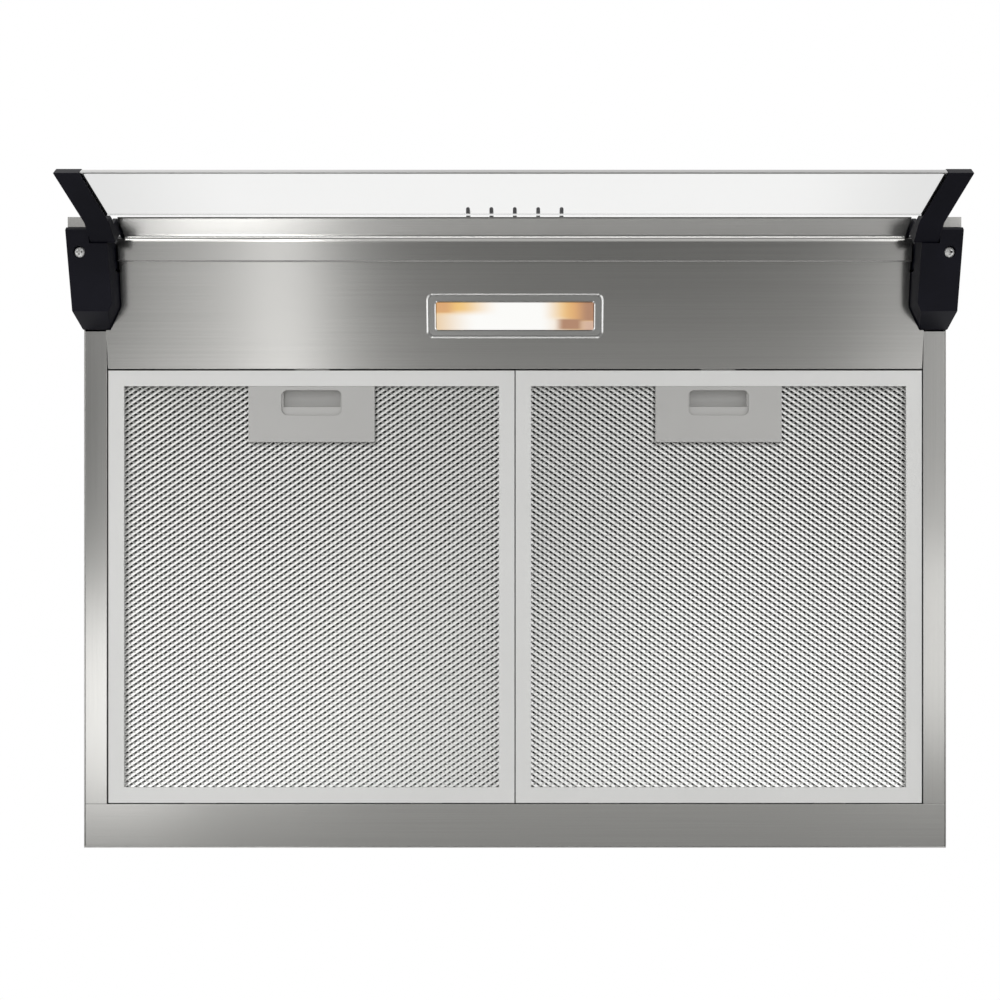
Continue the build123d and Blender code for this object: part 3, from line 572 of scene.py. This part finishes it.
class Growth:
    """A geometry node tree with named inputs."""

    def __init__(self, name, inputs):
        self.tree = bpy.data.node_groups.new(name, "GeometryNodeTree")
        face = self.tree.interface
        face.new_socket("Geometry", in_out="INPUT", socket_type="NodeSocketGeometry")
        face.new_socket("Geometry", in_out="OUTPUT", socket_type="NodeSocketGeometry")
        self.keys = {}
        for label, kind in inputs:
            self.keys[label] = face.new_socket(label, in_out="INPUT", socket_type=kind).identifier
        self.source = self.tree.nodes.new("NodeGroupInput")
        self.sink = self.tree.nodes.new("NodeGroupOutput")

    def wish(self, label):
        """The value of a named input."""
        return self.source.outputs[label]

    def node(self, kind, settings=None, sockets=None, out=0):
        """Add a node with these settings and these values or links on its sockets."""
        made = self.tree.nodes.new(kind)
        for key, value in (settings or {}).items():
            setattr(made, key, value)
        for key, value in (sockets or {}).items():
            if isinstance(value, bpy.types.NodeSocket):
                self.tree.links.new(value, made.inputs[key])
            else:
                made.inputs[key].default_value = value
        return made.outputs[out]

    def math(self, operation, first, second):
        return self.node("ShaderNodeMath", {"operation": operation}, {0: first, 1: second})

    def finish(self, geometry):
        """End the tree in a real, painted mesh."""
        whole = self.node("GeometryNodeRealizeInstances", None, {0: geometry})
        sockets = {0: whole, "Material": self.wish("Material")}
        painted = self.node("GeometryNodeSetMaterial", None, sockets)
        self.tree.links.new(painted, self.sink.inputs[0])

    def grow(self, name, values):
        """Run the tree with these values and keep the result as a plain mesh."""
        holder = bpy.data.objects.new(name + "_seed", bpy.data.meshes.new(name + "_seed"))
        bpy.context.scene.collection.objects.link(holder)
        modifier = holder.modifiers.new("growth", "NODES")
        modifier.node_group = self.tree
        for label, value in values.items():
            modifier[self.keys[label]] = value
        bpy.context.view_layer.update()
        shown = holder.evaluated_get(bpy.context.evaluated_depsgraph_get())
        mesh = bpy.data.meshes.new_from_object(shown)
        mesh.name = name
        holder.modifiers.remove(modifier)
        bpy.data.objects.remove(holder)
        made = bpy.data.objects.new(name, mesh)
        bpy.context.scene.collection.objects.link(made)
        return made


TREES = {}


def expanded_mesh_tree():
    """A sheet of expanded metal: four leaning strands round each diamond, less a bay for the latch."""
    inputs = [
        ("Width", "NodeSocketFloat"),
        ("Length", "NodeSocketFloat"),
        ("Columns", "NodeSocketInt"),
        ("Rows", "NodeSocketInt"),
        ("Cell width", "NodeSocketFloat"),
        ("Cell length", "NodeSocketFloat"),
        ("Strand", "NodeSocketVector"),
        ("Rising lean", "NodeSocketFloat"),
        ("Falling lean", "NodeSocketFloat"),
        ("Falling rise", "NodeSocketFloat"),
        ("Slant", "NodeSocketFloat"),
        ("Bay half width", "NodeSocketFloat"),
        ("Bay depth", "NodeSocketFloat"),
        ("Centre", "NodeSocketVector"),
        ("Material", "NodeSocketMaterial"),
    ]
    tree = Growth("expanded mesh", inputs)
    sockets = {
        "Size X": tree.wish("Width"),
        "Size Y": tree.wish("Length"),
        "Vertices X": tree.wish("Columns"),
        "Vertices Y": tree.wish("Rows"),
    }
    grid = tree.node("GeometryNodeMeshGrid", None, sockets)
    spot = tree.node("GeometryNodeInputPosition")
    split = tree.node("ShaderNodeSeparateXYZ", None, {0: spot})
    across = tree.math("ABSOLUTE", split, 0.0)
    half_length = tree.math("MULTIPLY", tree.wish("Length"), 0.5)
    along = tree.math("ADD", split.node.outputs["Y"], half_length)
    near = tree.math("LESS_THAN", across, tree.wish("Bay half width"))
    front = tree.math("LESS_THAN", along, tree.wish("Bay depth"))
    bay = tree.math("MULTIPLY", near, front)
    kept = tree.node("GeometryNodeDeleteGeometry", {"domain": "POINT"}, {0: grid, "Selection": bay})
    bar = tree.node("GeometryNodeMeshCube", None, {"Size": tree.wish("Strand")})
    diamond = tree.node("GeometryNodeJoinGeometry")
    for side, end in ((-1, 1), (1, -1), (1, 1), (-1, -1)):
        x = tree.math("MULTIPLY", tree.wish("Cell width"), side * 0.25)
        y = tree.math("MULTIPLY", tree.wish("Cell length"), end * 0.25)
        turn = tree.math("MULTIPLY", tree.wish("Slant"), -side * end)
        z = tree.math("MULTIPLY", tree.wish("Falling rise"), -side * end)
        place = tree.node("ShaderNodeCombineXYZ", None, {0: x, 1: y, 2: z})
        way = "Rising lean" if side == end else "Falling lean"
        lean = tree.node("ShaderNodeCombineXYZ", None, {0: tree.wish(way), 2: turn})
        sockets = {0: bar, "Translation": place, "Rotation": lean}
        strand = tree.node("GeometryNodeTransform", None, sockets)
        tree.tree.links.new(strand, diamond.node.inputs[0])
    many = tree.node("GeometryNodeInstanceOnPoints", None, {"Points": kept, "Instance": diamond})
    moved = tree.node("GeometryNodeTransform", None, {0: many, "Translation": tree.wish("Centre")})
    tree.finish(moved)
    return tree


def screw_tree():
    """Pan head screws with a cross recess, one at each of a row of places along X."""
    inputs = [
        ("Spacing", "NodeSocketFloat"),
        ("Head radius", "NodeSocketFloat"),
        ("Head height", "NodeSocketFloat"),
        ("Recess", "NodeSocketFloat"),
        ("Centre", "NodeSocketVector"),
        ("Material", "NodeSocketMaterial"),
    ]
    tree = Growth("cross head screws", inputs)
    radius = tree.wish("Head radius")
    height = tree.wish("Head height")
    recess = tree.wish("Recess")
    dome_scale = tree.node("ShaderNodeCombineXYZ", None, {0: radius, 1: radius, 2: height})
    ball = tree.node("GeometryNodeMeshUVSphere", None, {"Segments": 40, "Rings": 16, "Radius": 1.0})
    dome = tree.node("GeometryNodeTransform", None, {0: ball, "Scale": dome_scale})
    arm_long = tree.math("MULTIPLY", radius, 1.1)
    arm_wide = tree.math("MULTIPLY", radius, 0.42)
    down = tree.node("ShaderNodeCombineXYZ", None, {2: tree.math("MULTIPLY", height, -1.0)})
    cut = tree.node("GeometryNodeMeshBoolean", {"operation": "DIFFERENCE"}, {"Mesh 1": dome})
    for wide, deep in ((arm_long, arm_wide), (arm_wide, arm_long)):
        size = tree.node("ShaderNodeCombineXYZ", None, {0: wide, 1: deep, 2: recess})
        block = tree.node("GeometryNodeMeshCube", None, {"Size": size})
        arm = tree.node("GeometryNodeTransform", None, {0: block, "Translation": down})
        tree.tree.links.new(arm, cut.node.inputs["Mesh 2"])
    half = tree.math("MULTIPLY", tree.wish("Spacing"), -0.5)
    start = tree.node("ShaderNodeCombineXYZ", None, {0: half})
    step = tree.node("ShaderNodeCombineXYZ", None, {0: tree.wish("Spacing")})
    sockets = {"Count": 2, "Start Location": start, "Offset": step}
    row = tree.node("GeometryNodeMeshLine", None, sockets)
    many = tree.node("GeometryNodeInstanceOnPoints", None, {"Points": row, "Instance": cut})
    moved = tree.node("GeometryNodeTransform", None, {0: many, "Translation": tree.wish("Centre")})
    tree.finish(moved)
    return tree


def plant_trees():
    """Make every node tree once."""
    TREES["mesh"] = expanded_mesh_tree()
    TREES["screws"] = screw_tree()


# Operators
class HOOD_OT_shell(bpy.types.Operator):
    """Brushed steel sheets of the body"""

    bl_idname = "hood.shell"
    bl_label = "Shell"

    def bend(self, radius):
        """The rounded inner corner where the lip turns down from the flat band behind it, in steel
        painted brighter as a highlight.
        """
        lip_low, lip_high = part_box("front_lip")
        band_low, band_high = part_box("lip_flange")
        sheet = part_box("control_fascia")[1][1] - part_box("control_fascia")[0][1]
        corner = Vector((band_low[1], band_low[2]))
        along_lip = (Vector((lip_low[1], lip_low[2])) - corner).normalized()
        along_band = (Vector((band_high[1], band_high[2] - sheet)) - corner).normalized()
        half_angle = along_lip.angle(along_band) / 2
        middle = corner + (along_lip + along_band).normalized() * radius / math.sin(half_angle)
        reach = radius / math.tan(half_angle)
        first = corner + along_band * reach - middle
        last = corner + along_lip * reach - middle
        steps = 10
        arc = [middle + first.slerp(last, i / steps).normalized() * radius for i in range(steps + 1)]
        inside = corner - (along_lip + along_band).normalized() * sheet / 3
        piece = add_object("lip_bend", prism([*arc, inside], lip_low[0], lip_high[0]), 20.0)
        settle(piece, PAINTS["bend"], ["front_lip"])

    def hem(self, width):
        """The slanted rear edge of the flat band, over the front of the light panel, in steel painted
        darker as shade.
        """
        band_low, band_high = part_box("lip_flange")
        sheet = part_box("control_fascia")[1][1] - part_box("control_fascia")[0][1]
        rear = band_high[1]
        low = band_high[2] - sheet
        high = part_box("light_panel")[0][2] + sheet / 10
        front = rear - sheet / 3
        outline = [
            (front, low),
            (rear, low),
            (rear + width, low + 0.75 * width),
            (rear + width, high),
            (front, high),
        ]
        piece = add_object("flange_hem", prism(outline, band_low[0], band_high[0]), 20.0)
        settle(piece, PAINTS["hem"], ["lip_flange"])

    def execute(self, context):
        edge = context.scene.hood_sizes.sheet_edge
        across = "front_panel rear_panel rear_flange control_fascia front_lip lip_flange light_panel"
        for node in across.split():
            rounded(node, edge, PAINTS["steel_X"])
        for side in SIDES:
            for name in ("side_panel", "bottom_rail", "front_post"):
                rounded(f"{side}_{name}", edge, PAINTS["steel_Y"])
            rounded(side + "_corner_gusset", edge, PAINTS["inner"])
        rounded("filter_ledge", edge, PAINTS["inner"])
        self.bend(context.scene.hood_sizes.lip_bend)
        self.hem(context.scene.hood_sizes.flange_hem)
        return {"FINISHED"}


class HOOD_OT_top(bpy.types.Operator):
    """Top panel, duct collar, its screws, the damper and the cable gland"""

    bl_idname = "hood.top"
    bl_label = "Top"

    def execute(self, context):
        sizes = context.scene.hood_sizes
        rounded("top_panel", sizes.sheet_edge, PAINTS["inner"])
        for node in ("duct_collar", "collar_flange", "cable_gland"):
            rounded(node, sizes.sheet_edge, PAINTS["plastic"])
        for node in ("front_damper_flap", "rear_damper_flap"):
            rounded(node, sizes.sheet_edge, PAINTS["grey"])
        rounded("collar_screws", sizes.sheet_edge * 2, PAINTS["screw"])
        rounded("damper_pin", sizes.sheet_edge, PAINTS["screw"])
        return {"FINISHED"}


class HOOD_OT_hinges(bpy.types.Operator):
    """Hinge blocks, their pins and their cross head screws"""

    bl_idname = "hood.hinges"
    bl_label = "Hinges"

    def execute(self, context):
        sizes = context.scene.hood_sizes
        for side in SIDES:
            rounded(side + "_hinge_block", sizes.plastic_edge, PAINTS["plastic"], 3)
        rounded("hinge_pins", sizes.sheet_edge, PAINTS["screw"])
        low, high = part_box("hinge_screws")
        radius = (high[1] - low[1]) / 2
        head_height = 0.0016
        values = {
            "Spacing": high[0] - low[0] - 2 * radius,
            "Head radius": radius,
            "Head height": head_height,
            "Recess": 0.0036,
            "Centre": (0, (low[1] + high[1]) / 2, low[2] + head_height),
            "Material": PAINTS["screw"],
        }
        heads = TREES["screws"].grow("hinge_screw_heads", values)
        shade(heads.data)
        settle(heads, None, ["hinge_screws"])
        return {"FINISHED"}


class HOOD_OT_visor(bpy.types.Operator):
    """Visor arms, glass and edge trim"""

    bl_idname = "hood.visor"
    bl_label = "Visor"

    def execute(self, context):
        sizes = context.scene.hood_sizes
        for side in SIDES:
            rounded(side + "_visor_arm", sizes.plastic_edge * 0.7, PAINTS["plastic"], 3)
        rounded("visor_glass", sizes.sheet_edge, PAINTS["glass"])
        rounded("visor_trim", sizes.sheet_edge, PAINTS["trim"])
        return {"FINISHED"}


class HOOD_OT_keys(bpy.types.Operator):
    """Five push buttons and the switch bank"""

    bl_idname = "hood.keys"
    bl_label = "Keys"

    def execute(self, context):
        for node in KEYS:
            rounded(node, context.scene.hood_sizes.sheet_edge, PAINTS["key"])
        rounded("switch_bank", context.scene.hood_sizes.sheet_edge, PAINTS["plastic"])
        return {"FINISHED"}


class HOOD_OT_lamp(bpy.types.Operator):
    """Lamp bezel, lens, reflector, holder and bulb"""

    bl_idname = "hood.lamp"
    bl_label = "Lamp"

    def bezel(self, sizes):
        """The lamp's rim: a ridge along its edge, a groove inside it and a flat border to the window."""
        shape = nodes["lamp_bezel"].data
        lower = [face for face in shape.polygons if face.normal.z < -0.5]
        up = -max(lower, key=lambda face: face.area).normal
        across = Vector((1, 0, 0))
        axes = Matrix((across, up.cross(across), up)).transposed().to_4x4()
        points = [axes.inverted() @ vertex.co for vertex in shape.vertices]
        half_x = max(abs(p.x) for p in points)
        y_low = min(p.y for p in points)
        y_high = max(p.y for p in points)
        middle = (y_low + y_high) / 2
        half_y = (y_high - y_low) / 2
        border_x = half_x - min(abs(p.x) for p in points)
        border_y = half_y - min(abs(p.y - middle) for p in points)
        crest = min(p.z for p in points)
        base = max(p.z for p in points if abs(p.x) > half_x - 0.0001)
        top = max(p.z for p in points)
        height = base - crest
        ridge = sizes.bezel_ridge
        face = crest + 0.3 * height
        groove = crest + 0.75 * height
        window = border_x - 0.0002
        window_edge = 0.0005
        wall = 0.0008
        profile = [
            (0.0, base),
            (0.0, face),
            (0.85 * ridge, crest),
            (ridge, crest),
            (1.15 * ridge, groove),
            (1.45 * ridge, groove),
            (1.6 * ridge, face),
            (window - 0.0007, face),
            (window, face + window_edge),
            (window, top),
            (window - wall, top),
            (window - wall, base),
        ]
        loops = []
        for inset, level in profile:
            share = inset / border_x
            corner = sizes.bezel_corner * (1 - 0.5 * share)
            loops.append(oblong(half_x - inset, half_y - share * border_y, corner, level))
        place = axes @ Matrix.Translation((0, middle, 0))
        piece = add_object("lamp_bezel_finish", ring(loops, place), 20.0)
        settle(piece, PAINTS["bezel"], ["lamp_bezel"])

    def execute(self, context):
        edge = context.scene.hood_sizes.sheet_edge
        self.bezel(context.scene.hood_sizes)
        rounded("lamp_lens", edge * 2, PAINTS["lens"])
        rounded("lamp_reflector", edge, PAINTS["inner"])
        rounded("lamp_holder", edge * 3, PAINTS["ceramic"])
        rounded("lamp_bulb", edge, PAINTS["bulb"])
        return {"FINISHED"}


class HOOD_OT_filters(bpy.types.Operator):
    """Filter frames, layers of expanded mesh, latch plates and sliders"""

    bl_idname = "hood.filters"
    bl_label = "Filters"

    def layer(self, side, face, level, bay):
        """A sheet of expanded metal on one face of a filter, less a bay where the latch plate is."""
        sizes = bpy.context.scene.hood_sizes
        low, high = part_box(side + "_filter_mesh")
        plate_low, plate_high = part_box(side + "_latch_plate")
        cell_width = sizes.cell_width
        cell_length = sizes.cell_length
        columns = int((high[0] - low[0] - cell_width) / cell_width)
        rows = int((high[1] - low[1] - cell_length) / cell_length)
        front = (low[1] + high[1] - rows * cell_length) / 2
        strand_length = math.hypot(cell_width, cell_length) / 2 + sizes.strand_height
        outward, inward = -sizes.strand_tilt, -sizes.cross_tilt
        left = side == "left"
        values = {
            "Width": columns * cell_width,
            "Length": rows * cell_length,
            "Columns": columns + 1,
            "Rows": rows + 1,
            "Cell width": cell_width,
            "Cell length": cell_length,
            "Strand": (strand_length, sizes.strand_width, sizes.strand_height),
            "Rising lean": outward if left else inward,
            "Falling lean": inward if left else outward,
            "Falling rise": sizes.strand_step if left else -sizes.strand_step,
            "Slant": math.atan2(cell_length, cell_width),
            "Bay half width": bay * ((plate_high[0] - plate_low[0]) / 2 - cell_width),
            "Bay depth": plate_high[1] - cell_length - front,
            "Centre": ((low[0] + high[0]) / 2, (low[1] + high[1]) / 2, level),
            "Material": PAINTS["mesh"],
        }
        sheet = TREES["mesh"].grow(f"{side}_{face}_expanded_mesh", values)
        settle(sheet, None, [side + "_filter_mesh"])

    def pocket(self, side):
        """The plain floor behind the grip hole of a latch plate, in the plate's aluminium painted darker
        as the shade in the recess.
        """
        low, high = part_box(side + "_latch_plate")
        inset = 0.002
        thick = 0.0002
        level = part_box(side + "_filter_mesh")[0][2] - thick
        bm = bmesh.new()
        bmesh.ops.create_cube(bm, size=1.0)
        size = (high[0] - low[0] - inset, high[1] - low[1] - inset, thick)
        bmesh.ops.scale(bm, verts=bm.verts, vec=size)
        middle = ((low[0] + high[0]) / 2, (low[1] + high[1]) / 2, level)
        bmesh.ops.translate(bm, verts=bm.verts, vec=middle)
        settle(add_object(side + "_painted_shade_latch_pocket", bm), PAINTS["pocket"], [side + "_latch_plate"])

    def core(self, side):
        """The folded middle of the filter, behind the two mesh sheets, painted dark as the shade there.
        """
        bm = node_shape(side + "_filter_mesh")
        round_edges(bm, 0.0002, 1)
        settle(add_object(side + "_painted_shade_mesh_core", bm), PAINTS["core"], [side + "_filter_mesh"])

    def execute(self, context):
        sizes = context.scene.hood_sizes
        below_mesh = 0.0010
        above_mesh = 0.0004
        for side in SIDES:
            rounded(side + "_filter_frame", sizes.frame_edge, PAINTS["frame"])
            rounded(side + "_latch_plate", sizes.sheet_edge, PAINTS["plate"])
            rounded(side + "_latch_slider", sizes.sheet_edge, PAINTS["plate"])
            self.layer(side, "lower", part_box(side + "_latch_plate")[1][2] + below_mesh, 1.0)
            self.layer(side, "upper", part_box(side + "_filter_mesh")[1][2] + above_mesh, 0.0)
            self.pocket(side)
            self.core(side)
        return {"FINISHED"}


class HOOD_OT_blower(bpy.types.Operator):
    """Fan housing, impeller, motor and electrical boxes"""

    bl_idname = "hood.blower"
    bl_label = "Blower"

    def execute(self, context):
        edge = context.scene.hood_sizes.sheet_edge
        for node in ("scroll_wall", "scroll_inlet_plate", "scroll_motor_plate", "impeller"):
            tint(node, PAINTS["grey"])
        for node in ("fan_motor", "fan_shaft"):
            rounded(node, edge, PAINTS["inner"])
        rounded("motor_screws", edge * 2, PAINTS["screw"])
        rounded("terminal_box", edge * 3, PAINTS["grey"])
        rounded("capacitor_box", edge * 3, PAINTS["grey"])
        return {"FINISHED"}


def area_lamp(name, place, aim, size, power, spread=180.0):
    """A soft rectangular studio lamp, with its light kept in a cone where the spread is less."""
    data = bpy.data.lights.new(name, "AREA")
    data.shape = "RECTANGLE"
    data.size = size[0]
    data.size_y = size[1]
    data.energy = power
    data.spread = math.radians(spread)
    lamp = bpy.data.objects.new(name, data)
    bpy.context.scene.collection.objects.link(lamp)
    lamp.location = place
    lamp.rotation_euler = (Vector(aim) - Vector(place)).to_track_quat("-Z", "Y").to_euler()
    lamp.visible_camera = False
    lamp.visible_transmission = False


def low_lamp(name, x, y, size, power, level=-1.38):
    """A studio lamp that lies close to the floor and faces straight up."""
    area_lamp(name, (x, y, level), (x, y + 0.001, 0), size, power)


class HOOD_OT_stage(bpy.types.Operator):
    """Floor, studio lamps, white surroundings and the camera"""

    bl_idname = "hood.stage"
    bl_label = "Stage"

    def floor(self, stage):
        """A wide plain floor."""
        bm = bmesh.new()
        bmesh.ops.create_grid(bm, x_segments=1, y_segments=1, size=40.0)
        bmesh.ops.translate(bm, verts=bm.verts, vec=(0, 0, stage.floor_level))
        made = add_object("floor", bm)
        paint = Paint("pale floor")
        cloud = paint.noise(paint.place(), 3.0, 2.0)
        paint.set(
            Base_Color=paint.mix(cloud, darker(stage.floor_colour, 0.98), stage.floor_colour),
            Roughness=0.9,
        )
        made.data.materials.append(paint.material)

    def surroundings(self, scene):
        """White to the eye and in metal and glass, and a dim even light on everything."""
        world = bpy.data.worlds.new("studio")
        scene.world = world
        world.use_nodes = True
        tree = world.node_tree
        tree.nodes.clear()
        path = tree.nodes.new("ShaderNodeLightPath")
        seen = path.outputs["Is Camera Ray"]
        for ray in ("Is Transmission Ray", "Is Glossy Ray"):
            either = tree.nodes.new("ShaderNodeMath")
            either.operation = "MAXIMUM"
            tree.links.new(seen, either.inputs[0])
            tree.links.new(path.outputs[ray], either.inputs[1])
            seen = either.outputs[0]
        blend = tree.nodes.new("ShaderNodeMixShader")
        tree.links.new(seen, blend.inputs[0])
        room_light = 0.14
        for place, strength in ((1, room_light), (2, 1.0)):
            wall = tree.nodes.new("ShaderNodeBackground")
            wall.inputs["Color"].default_value = (1, 1, 1, 1)
            wall.inputs["Strength"].default_value = strength
            tree.links.new(wall.outputs[0], blend.inputs[place])
        out = tree.nodes.new("ShaderNodeOutputWorld")
        tree.links.new(blend.outputs[0], out.inputs["Surface"])

    def camera(self, scene, stage):
        """The photograph's eye, which looks straight up."""
        data = bpy.data.cameras.new("eye")
        data.lens = stage.lens
        data.sensor_width = 36.0
        data.shift_x = stage.shift
        data.clip_start = 0.01
        made = bpy.data.objects.new("eye", data)
        scene.collection.objects.link(made)
        made.location = stage.eye
        made.rotation_euler = (math.pi, 0, 0)
        scene.camera = made

    def execute(self, context):
        scene = context.scene
        stage = scene.hood_stage
        self.floor(stage)
        self.surroundings(scene)
        middle = (0, 0, -0.1)
        low_lamp("left_strip", -0.46, -0.15, (0.09, 1.2), 0.92, -1.40)
        low_lamp("left_glow", -0.64, -0.05, (0.24, 1.1), 0.40, -1.40)
        low_lamp("left_patch", -0.84, 0.37, (0.35, 0.40), 0.74)
        low_lamp("right_patch", 0.84, 0.27, (0.35, 0.35), 0.46)
        low_lamp("right_glow", 0.84, -0.15, (0.30, 0.60), 0.34)
        area_lamp("floor_pool", (0.10, 0.38, -1.28), (0.10, 0.381, -2.0), (2.2, 0.66), 2.7)
        area_lamp("front_left_low", (-1.83, -0.81, -1.05), middle, (3.4, 2.2), 12.0, 100.0)
        area_lamp("front_right_low", (1.83, -0.81, -1.05), middle, (3.4, 2.2), 12.0, 100.0)
        low_lamp("front_floor", -0.05, -1.6, (1.0, 0.5), 5.0)
        low_lamp("front_left_floor", -1.2, -0.85, (0.8, 0.7), 1.2)
        low_lamp("front_right_floor", 1.2, -0.85, (0.8, 0.7), 2.2)
        low_lamp("left_floor", -2.0, -0.15, (0.6, 1.0), 2.0)
        low_lamp("right_floor", 2.0, -0.15, (0.6, 1.0), 2.0)
        low_lamp("rear_floor", 0, 1.9, (5.0, 0.5), 22.0)
        area_lamp("rear_left_low", (-1.07, 3.0, -0.42), (-0.2, -0.2, -0.14), (0.5, 0.6), 4.2)
        area_lamp("front_high", (-1.3, -1.7, 1.3), middle, (2.4, 2.4), 6.0)
        area_lamp("right_high", (1.8, -0.6, 0.9), middle, (2.2, 2.2), 5.0)
        area_lamp("rear_high", (0.3, 1.8, 1.2), middle, (2.4, 2.0), 5.0)
        self.camera(scene, stage)
        scene.view_settings.view_transform = "Standard"
        return {"FINISHED"}


class HOOD_PT_panel(bpy.types.Panel):
    """The hood's operators and sizes"""

    bl_idname = "HOOD_PT_panel"
    bl_label = "Range hood"
    bl_space_type = "VIEW_3D"
    bl_region_type = "UI"
    bl_category = "Hood"

    def draw(self, context):
        column = self.layout.column(align=True)
        for step in STEPS:
            column.operator(step.bl_idname)
        for group in GROUPS:
            holder = getattr(context.scene, group)
            for key in holder.__annotations__:
                column.prop(holder, key)


STEPS = (
    HOOD_OT_shell,
    HOOD_OT_top,
    HOOD_OT_hinges,
    HOOD_OT_visor,
    HOOD_OT_keys,
    HOOD_OT_lamp,
    HOOD_OT_filters,
    HOOD_OT_blower,
    HOOD_OT_stage,
)
GROUPS = {"hood_sizes": HoodSizes, "hood_colours": HoodColours, "hood_stage": HoodStage}


def register():
    """Add the classes and the scene's properties."""
    for name, group in GROUPS.items():
        bpy.utils.register_class(group)
        setattr(bpy.types.Scene, name, bpy.props.PointerProperty(type=group))
    for step in STEPS:
        bpy.utils.register_class(step)
    bpy.utils.register_class(HOOD_PT_panel)


def unregister():
    """Take the classes and the scene's properties away again."""
    bpy.utils.unregister_class(HOOD_PT_panel)
    for step in reversed(STEPS):
        bpy.utils.unregister_class(step)
    for name, group in GROUPS.items():
        delattr(bpy.types.Scene, name)
        bpy.utils.unregister_class(group)


def main():
    """Build the looks in order."""
    register()
    mix_paints()
    plant_trees()
    bpy.ops.hood.shell()
    bpy.ops.hood.top()
    bpy.ops.hood.hinges()
    bpy.ops.hood.visor()
    bpy.ops.hood.keys()
    bpy.ops.hood.lamp()
    bpy.ops.hood.filters()
    bpy.ops.hood.blower()
    bpy.ops.hood.stage()


if __name__ == "__main__":
    main()
